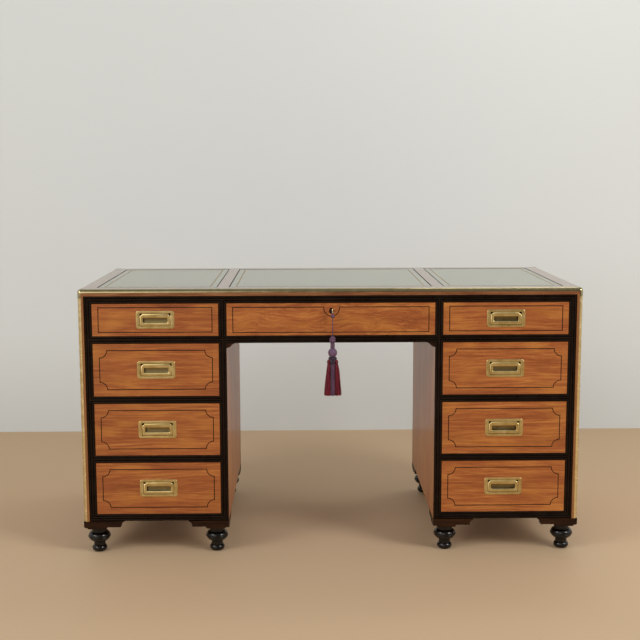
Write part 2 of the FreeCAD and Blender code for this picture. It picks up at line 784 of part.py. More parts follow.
def bracket_arm():
    """One arm of a base bracket along X from the corner: a pad over the foot and a bowed inner end."""
    pad_in = foot_inset + bracket_pad_width / 2
    pad_out = foot_inset - bracket_pad_width / 2
    wing_z = carcass_z - bracket_wing_height
    corners = [Vector(bracket_length - bracket_end_slope, 0, wing_z),
               Vector(pad_in + bracket_slope, 0, wing_z),
               Vector(pad_in, 0, foot_height), Vector(pad_out, 0, foot_height),
               Vector(pad_out - bracket_slope, 0, wing_z), Vector(0, 0, wing_z), Vector(0, 0, carcass_z),
               Vector(bracket_length, 0, carcass_z)]
    edges = [Part.makeLine(a, b) for a, b in zip(corners, corners[1:])]
    bow = Vector(bracket_length - bracket_end_slope * bracket_end_bow_share, 0,
                 carcass_z - bracket_wing_height * bracket_end_bow_share / 2)
    edges.append(Part.Arc(corners[-1], bow, corners[0]).toShape())
    return Part.Face(Part.Wire(edges)).extrude(Vector(0, bracket_thickness, 0))


# Base bracket at one corner: an arm along each face and a pad for the foot, cut to one height
def base_bracket():
    arm = bracket_arm()
    return_arm = arm.copy()
    return_arm.rotate(Vector(0, 0, 0), up_way, quarter_turn)
    return_arm = return_arm.mirror(Vector(0, 0, 0), right_way)
    pad_in = foot_inset + bracket_pad_width / 2
    pad_out = foot_inset - bracket_pad_width / 2
    pad = block(pad_out, pad_in, pad_out, pad_in, foot_height, carcass_z)
    return arm.multiFuse([return_arm, pad]).removeSplitter()


def at_pedestal_corners(piece):
    """A front left corner piece put at all four corners of both pedestals."""
    inner = piece.translated(Vector(knee_x, face_y, 0))
    outer = piece.mirror(Vector(0, 0, 0), right_way).translated(Vector(outer_x, face_y, 0))
    return four_corners([inner, outer])


# Small ogee bracket in an upper corner of the kneehole
def kneehole_bracket():
    y0 = face_y + frame_setback + reed_height
    top = frieze_z - rail_height
    tip = Vector(knee_x - kneehole_bracket_width, y0, top)
    low = Vector(knee_x, y0, top - kneehole_bracket_height)
    middle = (tip + low) / 2
    upper_bow = (tip + middle) / 2 + Vector(0, 0, kneehole_bracket_height * kneehole_bow_share)
    lower_bow = (middle + low) / 2 - Vector(0, 0, kneehole_bracket_height * kneehole_bow_share)
    edges = [Part.Arc(tip, upper_bow, middle).toShape(), Part.Arc(middle, lower_bow, low).toShape(),
             Part.makeLine(low, Vector(knee_x, y0, top)), Part.makeLine(Vector(knee_x, y0, top), tip)]
    return Part.Face(Part.Wire(edges)).extrude(Vector(0, kneehole_bracket_thickness, 0))


os.makedirs("parts", exist_ok=True)

save("top_board", [top_board()])
save("top_banding", top_banding())
save("leather_panels", leather_panels())
save("brass_top_edge", brass_top_edge())
save("brass_corner_caps", four_corners([brass_corner_cap()]))
save("brass_corner_strips", four_corners([brass_corner_strip()]))
save("outer_sides", both_sides([outer_side()]))
save("inner_sides", both_sides([inner_side()]))
save("pedestal_bottoms", both_sides([pedestal_shelf(carcass_z + rail_height)]))
save("dust_boards", dust_boards())
save("carcass_tops", carcass_tops())
save("drawer_guides_and_stops", guides_and_stops())
save("rear_panels", rear_panels())
front_frame = reeded_frame()
save("front_frame", front_frame)
save("rear_frame", mirrored_y(front_frame))
save("base_brackets", at_pedestal_corners(base_bracket()))
save("kneehole_brackets", four_corners([kneehole_bracket()]))
save("turned_feet", at_pedestal_corners(foot(Vector(foot_inset, foot_inset, 0))))

for side_name, side_place in (("left", -pedestal_x), ("right", pedestal_x)):
    for level in levels:
        pedestal_drawer(side_name + "_drawer_" + str(level), side_place, level)
centre_drawer()

save("tassel_loop", [tassel_loop()])
save("tassel_cord", [tassel_cord()])
save("tassel_head", [tassel_head()])
save("tassel_skirt", [tassel_skirt()])
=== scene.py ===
import math

import bmesh
import bpy
import numpy as np
from mathutils import Matrix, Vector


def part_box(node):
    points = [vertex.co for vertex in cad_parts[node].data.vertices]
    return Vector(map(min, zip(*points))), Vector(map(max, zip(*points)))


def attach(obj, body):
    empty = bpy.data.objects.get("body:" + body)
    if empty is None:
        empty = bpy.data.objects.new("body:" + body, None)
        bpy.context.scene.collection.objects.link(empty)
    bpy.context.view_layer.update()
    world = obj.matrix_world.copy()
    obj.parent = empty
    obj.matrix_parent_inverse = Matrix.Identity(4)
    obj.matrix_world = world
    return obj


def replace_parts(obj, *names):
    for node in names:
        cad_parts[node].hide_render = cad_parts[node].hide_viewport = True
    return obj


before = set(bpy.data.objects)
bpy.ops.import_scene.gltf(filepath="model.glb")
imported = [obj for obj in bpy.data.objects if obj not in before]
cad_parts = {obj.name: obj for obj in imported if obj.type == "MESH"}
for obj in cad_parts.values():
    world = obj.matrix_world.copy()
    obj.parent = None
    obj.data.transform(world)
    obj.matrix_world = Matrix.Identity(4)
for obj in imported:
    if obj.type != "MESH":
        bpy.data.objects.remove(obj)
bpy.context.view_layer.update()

# Room: a plain pale floor and a plain wall close behind the desk, both matt.
# They are not part of the desk and only carry its shadow and its reflections.
scene = bpy.context.scene
scene.view_settings.view_transform = "Standard"


def tint(red, green, blue):
    """Linear colour with alpha from a screen colour of 0 to 255, by the screen's own curve."""
    share = np.array([red, green, blue]) / 255
    linear = np.where(share <= 0.04045, share / 12.92, ((share + 0.055) / 1.055) ** 2.4)
    return (*linear.tolist(), 1.0)


def own_shader(material):
    """The Principled shader that a new material comes with."""
    return material.node_tree.nodes["Principled BSDF"]


def set_values(material, **values):
    """Set plain values on the shader's own sockets; a _ in a name stands for a space."""
    for socket, value in values.items():
        own_shader(material).inputs[socket.replace("_", " ")].default_value = value


def finish(name, colour, roughness, **values):
    """New material of one screen colour and one roughness, with other plain values where given."""
    material = bpy.data.materials.new(name)
    material.use_nodes = True
    set_values(material, Base_Color=tint(*colour), Roughness=roughness, **values)
    return material


def room_sheet(name, corners, material):
    """Flat four-cornered sheet, for the room alone."""
    mesh = bpy.data.meshes.new(name)
    mesh.from_pydata(corners, [], [(0, 1, 2, 3)])
    mesh.materials.append(material)
    made = bpy.data.objects.new(name, mesh)
    scene.collection.objects.link(made)


wall_y, floor_z, room_x, room_front, room_top = 1.208, -0.0004, 7.0, -8.0, 5.0
floor_paint = finish("floor_paint", (199, 171, 137), 0.6, Specular_IOR_Level=0.25)
wall_paint = finish("wall_paint", (215, 219, 217), 0.9, Specular_IOR_Level=0.2)
room_sheet("floor", [(-room_x, room_front, floor_z), (room_x, room_front, floor_z),
                     (room_x, wall_y, floor_z), (-room_x, wall_y, floor_z)], floor_paint)
room_sheet("wall", [(-room_x, wall_y, floor_z), (room_x, wall_y, floor_z),
                    (room_x, wall_y, room_top), (-room_x, wall_y, room_top)], wall_paint)


# Light: a dim room, a little brighter overhead and to the sides, with a bright window on the left behind the
# camera. Two soft lamps stand well out to the sides, so that they do not shine back from the mouldings, and a
# small one overhead shines in the brass edge. The wall is clear from behind, to be looked through from there.
def add(material, kind, inputs=None, **options):
    """Add one node: options are its own settings, inputs are values or the sockets that feed it."""
    tree = material.node_tree
    made = tree.nodes.new(kind)
    for option, value in options.items():
        setattr(made, option, value)
    for socket, value in (inputs or {}).items():
        if isinstance(value, bpy.types.NodeSocket):
            tree.links.new(value, made.inputs[socket])
        else:
            made.inputs[socket].default_value = value
    return made


def combine(material, first, second, kind="ADD"):
    """Plain arithmetic on two numbers."""
    return add(material, "ShaderNodeMath", {0: first, 1: second}, operation=kind).outputs["Value"]


def stretch_value(material, factor, from_low, from_high, low, high):
    """Value stretched from one range to another and held at its ends."""
    made = add(material, "ShaderNodeMapRange", {"Value": factor, "From Min": from_low, "From Max": from_high,
                                                "To Min": low, "To Max": high})
    return made.outputs["Result"]


wall_tree = wall_paint.node_tree
behind = add(wall_paint, "ShaderNodeNewGeometry").outputs["Backfacing"]
clear = add(wall_paint, "ShaderNodeBsdfTransparent").outputs["BSDF"]
painted = own_shader(wall_paint).outputs["BSDF"]
one_way = add(wall_paint, "ShaderNodeMixShader", {0: behind, 1: painted, 2: clear}).outputs["Shader"]
wall_tree.links.new(one_way, wall_tree.nodes["Material Output"].inputs["Surface"])
world = bpy.data.worlds.new("room_light")
scene.world = world
world.use_nodes = True
room_level, ceiling_level, side_level, window_level = 0.13, 0.32, 0.7, 1.5
window_way = (-0.40, -0.87, 0.28)
direction = add(world, "ShaderNodeTexCoord").outputs["Generated"]
parts = add(world, "ShaderNodeSeparateXYZ", {"Vector": direction})
overhead = stretch_value(world, parts.outputs["Z"], 0.0, 0.8, room_level, ceiling_level)
sideways = combine(world, parts.outputs["X"], 0.0, "ABSOLUTE")
beside_desk = stretch_value(world, sideways, 0.5, 0.9, 0.0, side_level)
facing = add(world, "ShaderNodeVectorMath", {0: direction, 1: window_way}, operation="DOT_PRODUCT")
window = stretch_value(world, facing.outputs["Value"], 0.91, 0.96, 0.0, window_level)
background = world.node_tree.nodes["Background"]
background.inputs["Color"].default_value = (1.0, 1.0, 1.0, 1.0)
strength = combine(world, overhead, combine(world, beside_desk, window))
world.node_tree.links.new(strength, background.inputs["Strength"])


def stance(side, up, back, place):
    """Matrix of an object at a place, whose own three axes point to its side, up and back."""
    turn = np.eye(4)
    turn[:3] = np.stack([side, up, back, place], axis=1)
    return Matrix(turn.tolist())


def soft_lamp(name, place, target, size, power):
    """Oblong soft lamp that faces a target: its axes are built from the line between the two."""
    data = bpy.data.lights.new(name, "AREA")
    data.shape = "RECTANGLE"
    data.size, data.size_y = size
    data.energy = power
    lamp = bpy.data.objects.new(name, data)
    away = np.array(place, float) - np.array(target, float)
    away /= np.linalg.norm(away)
    side = np.cross([0.0, 0.0, 1.0], away)
    side /= np.linalg.norm(side)
    lamp.matrix_world = stance(side, np.cross(away, side), away, place)
    scene.collection.objects.link(lamp)


desk_heart, brass_spot = (0.0, 0.0, 0.5), (0.43, -0.32, 0.76)
soft_lamp("lamp_right", (4.0, -3.2, 3.2), desk_heart, (1.8, 1.8), 148)
soft_lamp("lamp_left", (-4.0, -3.2, 3.2), desk_heart, (1.8, 1.8), 86)
soft_lamp("lamp_ceiling", (0.85, 0.9, 2.77), brass_spot, (0.9, 0.25), 6.0)

# Camera: a little left of the desk's middle and above its top, turned slightly to the right.
# Place and angles are those of the fitted view; the image is taken as 640 by 640.
yaw, pitch, roll = np.radians([0.8373, -7.7838, -0.1504])
camera_place, sensor_width, focal_pixels, image_pixels = (-0.07736, -3.49643, 1.1118), 36.0, 1139.7, 640
ahead = np.array([np.sin(yaw) * np.cos(pitch), np.cos(yaw) * np.cos(pitch), np.sin(pitch)])
level = np.array([np.cos(yaw), -np.sin(yaw), 0.0])
rise = np.cross(level, ahead)
camera_data = bpy.data.cameras.new("camera")
camera_data.sensor_width = sensor_width
camera_data.lens = sensor_width * focal_pixels / image_pixels
camera = bpy.data.objects.new("camera", camera_data)
camera.matrix_world = stance(level * np.cos(roll) + rise * np.sin(roll),
                             rise * np.cos(roll) - level * np.sin(roll), -ahead, camera_place)
scene.collection.objects.link(camera)
scene.camera = camera


# Carcass boards: two pedestals and the frieze over the kneehole, veneered where they show.
# Side boards carry polished veneer with upright grain, darkened on their narrow edges by painted shade;
# boards inside are plain sawn wood.
def feed(material, socket, output):
    """Link a node's output to a socket of the material's own shader."""
    material.node_tree.links.new(output, own_shader(material).inputs[socket])


def object_place(material):
    """Where a point lies in the desk's own frame, in metres."""
    return add(material, "ShaderNodeTexCoord").outputs["Object"]


def depth_on(material):
    """How far a point lies behind the desk's middle."""
    return add(material, "ShaderNodeSeparateXYZ", {"Vector": object_place(material)}).outputs["Y"]


def noise(material, place, scale, detail, rough=0.5, result="Fac"):
    """Noise of a place that is first multiplied by one scale, or by three in a list, in cycles per metre."""
    scales = scale if isinstance(scale, list) else [scale] * 3
    spread = add(material, "ShaderNodeMapping", {"Vector": place, "Scale": scales})
    made = add(material, "ShaderNodeTexNoise", {"Vector": spread.outputs["Vector"], "Scale": 1.0,
                                                "Detail": detail, "Roughness": rough})
    return made.outputs[result]


def tones(material, factor, stops):
    """Colour ramp through stops of place and screen colour."""
    ramp = add(material, "ShaderNodeValToRGB", {"Fac": factor})
    bands = ramp.color_ramp.elements
    while len(bands) < len(stops):
        bands.new(0.5)
    for band, (place, colour) in zip(bands, stops):
        band.position = place
        band.color = tint(*colour)
    return ramp.outputs["Color"]


def blend_colours(material, factor, first, second, mode="MIX"):
    """Mix of two colours by a factor."""
    mix = add(material, "ShaderNodeMix", {0: factor, 6: first, 7: second}, data_type="RGBA", blend_type=mode)
    return mix.outputs[2]


def weigh(material, first, share, second):
    """Sum of two values in shares that make up one."""
    return combine(material, combine(material, first, share, "MULTIPLY"),
                   combine(material, second, 1 - share, "MULTIPLY"))


def vary_gloss(material, factor, low, high, span=0.2):
    """Roughness that goes from low to high as a value goes from a span below one half to a span above."""
    feed(material, "Roughness", stretch_value(material, factor, 0.5 - span, 0.5 + span, low, high))


def relief(material, height, strength, distance):
    """Bump from a height, with the deepest mark given in metres."""
    bump = add(material, "ShaderNodeBump", {"Height": height, "Strength": strength, "Distance": distance})
    feed(material, "Normal", bump.outputs["Normal"])


def grained_wood(name, along, colours, polish, coords="Object", swirl=0.03, waves=(2.4, 7.0)):
    """Wood whose streaks are noise drawn out along one axis and bent by a slower noise.

    Fine pores darken it, a thin dark line runs here and there, and a broad noise turns patches towards a
    warmer glow, as figure does. Colours go from dark to light, then the glow."""
    dark, middle, light, glow = colours
    material = finish(name, middle, 0.4, Coat_Weight=polish, Coat_Roughness=0.14, Specular_IOR_Level=0.3)
    place = add(material, "ShaderNodeTexCoord").outputs[coords]

    def grain(lengthwise, across):
        """Scales of a noise along the grain and across it."""
        scales = [across] * 3
        scales[along] = lengthwise
        return scales

    def move(first, second, kind):
        """Plain arithmetic on two places."""
        return add(material, "ShaderNodeVectorMath", {0: first, 1: second}, operation=kind).outputs["Vector"]

    bend = noise(material, place, grain(*waves), 2.0, result="Color")
    centred = move(bend, (0.5, 0.5, 0.5), "SUBTRACT")
    bent = move(place, move(centred, (swirl, swirl, swirl), "MULTIPLY"), "ADD")
    streaks = noise(material, bent, grain(9.0, 190.0), 6.0, 0.7)
    broad = noise(material, bent, grain(2.4, 30.0), 3.0)
    figure = weigh(material, streaks, 0.72, broad)
    colour = tones(material, figure, [(0.34, dark), (0.5, middle), (0.66, light)])
    patches = noise(material, bent, grain(7.0, 16.0), 2.0)
    warm = stretch_value(material, patches, 0.5, 0.72, 0.0, 0.45)
    colour = blend_colours(material, warm, colour, tint(*glow))
    lines = noise(material, bent, grain(6.0, 170.0), 2.0)
    drawn = stretch_value(material, lines, 0.53, 0.67, 0.0, 0.5)
    colour = blend_colours(material, drawn, colour, tint(*dark))
    pores = noise(material, bent, grain(40.0, 1500.0), 2.0, 0.6)
    open_pores = stretch_value(material, pores, 0.56, 0.7, 0.0, 0.45)
    feed(material, "Base Color", blend_colours(material, open_pores, colour, tint(*dark), "MULTIPLY"))
    vary_gloss(material, streaks, 0.36, 0.52)
    relief(material, combine(material, streaks, open_pores, "SUBTRACT"), 0.1, 0.0003)
    return material


def lay_over(material, factor, colour):
    """Lay a screen colour over the material's own by a factor."""
    under = own_shader(material).inputs["Base Color"].links[0].from_socket
    feed(material, "Base Color", blend_colours(material, factor, under, tint(*colour)))


def dress(material, *nodes):
    """Give CAD nodes a finish on their own material slots."""
    for node in nodes:
        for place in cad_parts[node].material_slots:
            place.material = material


veneer_tones = (126, 62, 25), (157, 87, 38), (188, 119, 56), (192, 126, 52)
top_edge_shade_tones = (90, 48, 21), (127, 77, 43), (156, 108, 66), (148, 98, 55)
sawn_tones = (110, 74, 44), (152, 112, 72), (178, 140, 96), (170, 126, 80)
upright_veneer = grained_wood("upright_veneer", 2, veneer_tones, 0.24)
set_values(upright_veneer, Specular_IOR_Level=0.95, Specular_Tint=tint(255, 206, 140))
board_end, edge_shade_from, edge_shade_full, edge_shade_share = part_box("outer_sides")[1].y, 0.0015, 0.0005, 0.65
from_middle = combine(upright_veneer, depth_on(upright_veneer), 0.0, "ABSOLUTE")
painted_edge_shade = stretch_value(upright_veneer, from_middle, board_end - edge_shade_from, board_end - edge_shade_full,
                           0.0, edge_shade_share)
# Painted shade: the boards' narrow ends are laid over with a darker brown.
lay_over(upright_veneer, painted_edge_shade, (108, 78, 54))
dress(upright_veneer, "outer_sides", "inner_sides")
level_veneer = grained_wood("level_veneer", 0, veneer_tones, 0.3)
dress(level_veneer, "rear_panels")
# The top board's edge shows as a strip under the brass bar; its darker copy of the veneer is painted shade
# under the bar.
dress(grained_wood("top_edge_shaded_wood", 0, top_edge_shade_tones, 0.2), "top_board")
dress(grained_wood("sawn_wood", 0, sawn_tones, 0.0), "pedestal_bottoms", "dust_boards", "carcass_tops")
dress(grained_wood("guide_wood", 1, sawn_tones, 0.0), "drawer_guides_and_stops")


# Reeded frames: black mouldings of three reeds round every opening, mitred at the corners and pointed
# where one meets another's side. Ebonised hardwood, glued to the edges of the carcass.
def speckled(name, colour, roughness, scale, detail, rough, stops, **values):
    """Material whose colour follows a noise through stops of place and screen colour, and that noise."""
    material = finish(name, colour, roughness, **values)
    factor = noise(material, object_place(material), scale, detail, rough)
    feed(material, "Base Color", tones(material, factor, stops))
    return material, factor


def black_polish(name, smooth, shine, lustre):
    """Blackened wood: slow noise wears its polish and lets brown through, fine noise is its closed grain."""
    black_tones = [(0.36, (8, 4, 3)), (0.55, (12, 8, 6)), (0.74, (22, 14, 10))]
    material, wear = speckled(name, (12, 7, 5), smooth, 30.0, 4.0, 0.6, black_tones,
                              Specular_IOR_Level=shine, Specular_Tint=tint(*lustre))
    vary_gloss(material, wear, smooth - 0.06, smooth + 0.1)
    relief(material, noise(material, object_place(material), 260.0, 3.0, 0.6), 0.05, 0.0002)
    return material


ebonised = black_polish("ebonised_wood", 0.3, 0.24, (255, 208, 178))
weld_reach, sharp_angle = 2e-7, math.radians(38)


def piece(name, body, material, grids, outward=None):
    """Join grids of points, each rows by columns by 3, into one mesh that rides on a body.

    A grid may be a pair with its own map in metres. Faces lie between neighbouring rows and columns, and
    grids that meet are welded. Faces are turned towards outward; without one they are turned away from the
    inside of a closed form, or left as the grids run where outward is "kept"."""
    corners, charts, faces, start = [], [], [], 0
    for grid in grids:
        points, chart = grid if isinstance(grid, tuple) else (grid, np.zeros((*grid.shape[:2], 2)))
        rows, columns = points.shape[:2]
        index = start + np.arange(rows * columns).reshape(rows, columns)
        quads = np.stack([index[:-1, :-1], index[:-1, 1:], index[1:, 1:], index[1:, :-1]], axis=-1)
        corners.append(points.reshape(-1, 3))
        charts.append(chart.reshape(-1, 2))
        faces.append(quads.reshape(-1, 4))
        start += rows * columns
    corners, charts, faces = np.concatenate(corners), np.concatenate(charts), np.concatenate(faces)
    if isinstance(outward, tuple):
        one, two = corners[faces[:, 2]] - corners[faces[:, 0]], corners[faces[:, 3]] - corners[faces[:, 1]]
        away = np.cross(one, two) @ np.array(outward, float) < 0
        faces[away] = faces[away][:, ::-1]
    mesh = bpy.data.meshes.new(name)
    mesh.from_pydata(corners.tolist(), [], faces.tolist())
    layer = mesh.uv_layers.new(name="map")
    layer.data.foreach_set("uv", charts[faces.ravel()].astype(np.float32).ravel())
    work = bmesh.new()
    work.from_mesh(mesh)
    bmesh.ops.remove_doubles(work, verts=work.verts, dist=weld_reach)
    if outward is None:
        bmesh.ops.recalc_face_normals(work, faces=work.faces)
    work.to_mesh(mesh)
    work.free()
    mesh.polygons.foreach_set("use_smooth", np.ones(len(mesh.polygons), bool))
    mesh.set_sharp_from_angle(angle=sharp_angle)
    mesh.materials.append(material)
    made = bpy.data.objects.new(name, mesh)
    scene.collection.objects.link(made)
    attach(made, body)
    return made


frame_low, frame_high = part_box("front_frame")
reed_height, bar_depth, reed_points = 0.003, 0.008, 13
crest_y = -frame_low.y
valley_y, carcass_y = crest_y - reed_height, crest_y - bar_depth
stile_w, rail_h = 0.0215, 0.021
half_w, half_h = stile_w / 2, rail_h / 2
edge_x, knee_x = frame_high.x, 0.2945
in_x, out_x = knee_x + stile_w, edge_x - stile_w
cross_x, outer_mid_x = knee_x + half_w, out_x + half_w
base_z, under_top, storey = frame_low.z, frame_high.z, 0.172
floors = [base_z + rail_h + step * storey for step in (3, 2, 1, 0)]
heights = [0.0925, 0.151, 0.151, 0.151]
frieze_z, frieze_top = floors[0], under_top - rail_h
soffit_z = frieze_z - rail_h


def reeded_bar(low, width, starts, ends, upright):
    """Bar of three reeds between two lines cut across it.

    Across the bar each reed is an arc of a circle through its two valleys and its crest. Along it, each
    point runs from the start line to the end line, both given at the bar's low edge, middle and high edge."""
    chord = width / 3
    radius = (chord ** 2 / 4 + reed_height ** 2) / (2 * reed_height)
    swing = np.linspace(-1, 1, reed_points) * np.arcsin(chord / 2 / radius)
    across = chord / 2 + radius * np.sin(swing)
    out = crest_y - radius + radius * np.cos(swing)
    wall = np.array([carcass_y, valley_y])
    lines = [(across + reed * chord, out) for reed in range(3)]
    lines += [(np.zeros(2), wall), (np.full(2, width), wall)]
    grids = []
    for sideways, depth in lines:
        run = np.stack([np.interp(sideways / width, (0, 0.5, 1), cut) for cut in (starts, ends)], axis=1)
        spot = np.repeat((low + sideways)[:, None], 2, axis=1)
        face = np.repeat(-depth[:, None], 2, axis=1)
        grids.append(np.stack([spot, face, run] if upright else [run, face, spot], axis=-1))
    return grids


right = []
for floor in floors[:3]:
    right += reeded_bar(floor - rail_h, rail_h, (in_x, cross_x, in_x), (out_x, outer_mid_x, out_x), False)
right += reeded_bar(base_z, rail_h, (knee_x, cross_x, in_x), (edge_x, outer_mid_x, out_x), False)
joints = [floor - half_h for floor in floors[:3]][::-1]
lower = [(floors[3], base_z + half_h, base_z)] + [(z + half_h, z, z) for z in joints]
upper = [(z - half_h, z, z) for z in joints] + [(frieze_top, frieze_top + half_h, under_top)]
for starts, ends in zip(lower, upper):
    right += reeded_bar(out_x, stile_w, starts, ends, True)
lower = [(base_z, base_z + half_h, floors[3])] + [(z, z, z + half_h) for z in joints[:2]]
upper = [(z, z, z - half_h) for z in joints[:2]] + [(soffit_z, soffit_z + half_h, soffit_z)]
for starts, ends in zip(lower, upper):
    right += reeded_bar(knee_x, stile_w, starts, ends, True)
right += reeded_bar(knee_x, stile_w, (frieze_z, frieze_z - half_h, frieze_z),
                    (frieze_top, frieze_top + half_h, frieze_top), True)
right += reeded_bar(frieze_top, rail_h, (in_x, cross_x, cross_x), (out_x, outer_mid_x, edge_x), False)
middle = reeded_bar(soffit_z, rail_h, (-knee_x, -cross_x, -knee_x), (knee_x, cross_x, knee_x), False)
middle += reeded_bar(frieze_top, rail_h, (-knee_x, -cross_x, -cross_x), (knee_x, cross_x, cross_x), False)
front_bars = right + [grid * (-1, 1, 1) for grid in right] + middle
rear_bars = [grid * (1, -1, 1) for grid in front_bars]
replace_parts(piece("front_reeded_frame", "root", ebonised, front_bars, (0, -1, 0)), "front_frame")
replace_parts(piece("rear_reeded_frame", "root", ebonised, rear_bars, (0, 1, 0)), "rear_frame")


# Crossbanded border of the top: strips of veneer with their grain across them, mitred at the corners,
# and two bands that part the three leather panels. Glued on the top board inside the brass edge.
def thicken(made, depth):
    """Give a flat sheet its thickness behind its face, with square edges."""
    made.data.polygons.foreach_set("use_smooth", np.zeros(len(made.data.polygons), bool))
    wall = made.modifiers.new("thickness", "SOLIDIFY")
    wall.thickness = depth
    wall.offset = -1.0


desk_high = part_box("brass_top_edge")[1]
bar_r, border, divider_half, banding_depth = 0.010, 0.040, 0.019, 0.0029
surface_z = desk_high.z
edge_mid_x, edge_mid_y, edge_mid_z = desk_high.x - bar_r, desk_high.y - bar_r, surface_z - bar_r
skin_x, skin_y = edge_mid_x - border, edge_mid_y - border


def lying(flat, height):
    """2-D points laid at one height."""
    return np.concatenate([flat, np.full((*flat.shape[:2], 1), height)], axis=-1)


def flat_strip(corners, grain, shift):
    """Four-cornered strip at the top's height; its map runs along the grain direction, then across it."""
    flat = np.array(corners, float).reshape(2, 2, 2)
    return lying(flat, surface_z), (flat if grain == 0 else flat[..., ::-1]) + np.array(shift)


strips = []
for number, sign in enumerate((-1, 1)):
    far_x, far_y, near_x, near_y = (sign * v for v in (edge_mid_x, edge_mid_y, skin_x, skin_y))
    low, high = sign * cross_x - divider_half, sign * cross_x + divider_half
    strips.append(flat_strip([(-edge_mid_x, far_y), (edge_mid_x, far_y), (-skin_x, near_y), (skin_x, near_y)],
                             1, (2.0 * number, 1.0)))
    strips.append(flat_strip([(far_x, -edge_mid_y), (far_x, edge_mid_y), (near_x, -skin_y), (near_x, skin_y)],
                             0, (2.0 * number, 4.0)))
    strips.append(flat_strip([(low, -skin_y), (high, -skin_y), (low, skin_y), (high, skin_y)],
                             0, (2.0 * number, 7.0)))
banding_tones = (96, 62, 38), (134, 96, 66), (162, 126, 90), (154, 118, 80)
banding_veneer = grained_wood("banding_veneer", 0, banding_tones, 1.0, coords="UV")
banding = piece("top_banding_veneer", "root", banding_veneer, strips, (0, 0, 1))
thicken(banding, banding_depth)
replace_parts(banding, "top_banding")

# Leather panels: three skins let into the top, with a fine grain, a tooled double line and a
# black string of wood round each. The skins are the CAD node; the lines are pressed in or inlaid.
leather = finish("writing_leather", (112, 116, 80), 0.45, Coat_Weight=1.0, Coat_Roughness=0.16)
skin_place = object_place(leather)
pebbles = add(leather, "ShaderNodeTexVoronoi", {"Vector": skin_place, "Scale": 900.0},
              feature="DISTANCE_TO_EDGE").outputs["Distance"]
creases = stretch_value(leather, pebbles, 0.0, 0.12, 0.0, 1.0)
rubs = noise(leather, skin_place, 9.0, 4.0, 0.6)
skin = tones(leather, rubs, [(0.3, (94, 100, 68)), (0.52, (116, 120, 84)), (0.72, (140, 140, 102))])
feed(leather, "Base Color", blend_colours(leather, creases, tint(84, 88, 60), skin))
vary_gloss(leather, rubs, 0.38, 0.54)
relief(leather, creases, 0.12, 0.0001)
dress(leather, "leather_panels")


def ribbon(line, width):
    """Closed flat band along a line of 2-D points: each edge is the line moved half a width along the
    mitred normal, which is the sum of the two neighbouring normals over one plus their product."""
    step = np.roll(line, -1, axis=0) - line
    step /= np.linalg.norm(step, axis=1, keepdims=True)
    after = np.stack([-step[:, 1], step[:, 0]], axis=-1)
    before = np.roll(after, 1, axis=0)
    normal = (after + before) / (1 + np.sum(after * before, axis=1, keepdims=True))
    edges = np.stack([line + normal * width / 2, line - normal * width / 2])
    return np.concatenate([edges, edges[:, :1]], axis=1)


def box_line(low_x, high_x, low_y, high_y):
    """Corners of a rectangle in order."""
    return np.array([(low_x, low_y), (high_x, low_y), (high_x, high_y), (low_x, high_y)], float)


def panel_line(low, high, grow, width, height):
    """Flat band round one panel: its rectangle is grown by a length, or drawn in by a negative one."""
    return lying(ribbon(box_line(low - grow, high + grow, -skin_y - grow, skin_y + grow), width), height)


string_wood = speckled("string_wood", (30, 15, 9), 0.6, 220.0, 3.0, 0.6,
                       [(0.35, (20, 10, 6)), (0.65, (42, 22, 12))], Specular_IOR_Level=0.12)[0]
gilt = speckled("gilt_tooling", (150, 122, 70), 0.6, 160.0, 3.0, 0.65,
                [(0.38, (84, 72, 44)), (0.55, (164, 134, 78))], Metallic=0.3, Specular_IOR_Level=0.2)[0]
skin_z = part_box("leather_panels")[1].z
string_in, string_z, inlay_depth = 0.0015, surface_z + 0.00004, 0.00022
tooled_insets_and_widths, tooled_z = ((0.0158, 0.0006), (0.0185, 0.0020)), skin_z + 0.00005
skins = [(-skin_x, -cross_x - divider_half), (divider_half - cross_x, cross_x - divider_half),
         (cross_x + divider_half, skin_x)]
strings = [panel_line(low, high, string_in, 2 * string_in, string_z) for low, high in skins]
thicken(piece("top_strings", "root", string_wood, strings, (0, 0, 1)), inlay_depth)
tooling = [panel_line(low, high, -inset, width, tooled_z) for low, high in skins
           for inset, width in tooled_insets_and_widths]
thicken(piece("leather_tooling", "root", gilt, tooling, (0, 0, 1)), inlay_depth)


# Brass edge: quarter-round bar let into the top's arris, a rounded cap at each corner that stands a
# hair proud of the bars, and a quarter-round strip down each corner of the carcass.
def aged_brass(name, dull, usual, bright, smooth):
    """Toned brass: slow noise shifts its colour, fine noise its gloss, and faint scratches lie on it."""
    material, tarnish = speckled(name, usual, smooth, 34.0, 5.0, 0.6,
                                 [(0.32, dull), (0.5, usual), (0.68, bright)], Metallic=1.0)
    rubbing = noise(material, object_place(material), 420.0, 2.0)
    vary_gloss(material, weigh(material, tarnish, 0.6, rubbing), smooth - 0.05, smooth + 0.1, 0.15)
    relief(material, rubbing, 0.02, 0.00005)
    return material


# The bars and caps take a darker brass than the corner strips: painted shade for the dim room that they
# mirror.
shaded_edge_brass = aged_brass("shaded_edge_brass", (164, 149, 108), (174, 159, 117), (183, 168, 126), 0.12)
strip_brass = aged_brass("strip_brass", (210, 190, 140), (222, 204, 156), (232, 216, 172), 0.22)
cap_r, cap_inner_r, leg = bar_r + 0.00025, bar_r - 0.0004, 0.015
quarter = np.linspace(0, np.pi / 2, 15)


def quarter_arc(first, second):
    """Unit directions that turn from the first to the second over a right angle."""
    first, second = np.array(first, float), np.array(second, float)
    return np.cos(quarter)[:, None] * first + np.sin(quarter)[:, None] * second


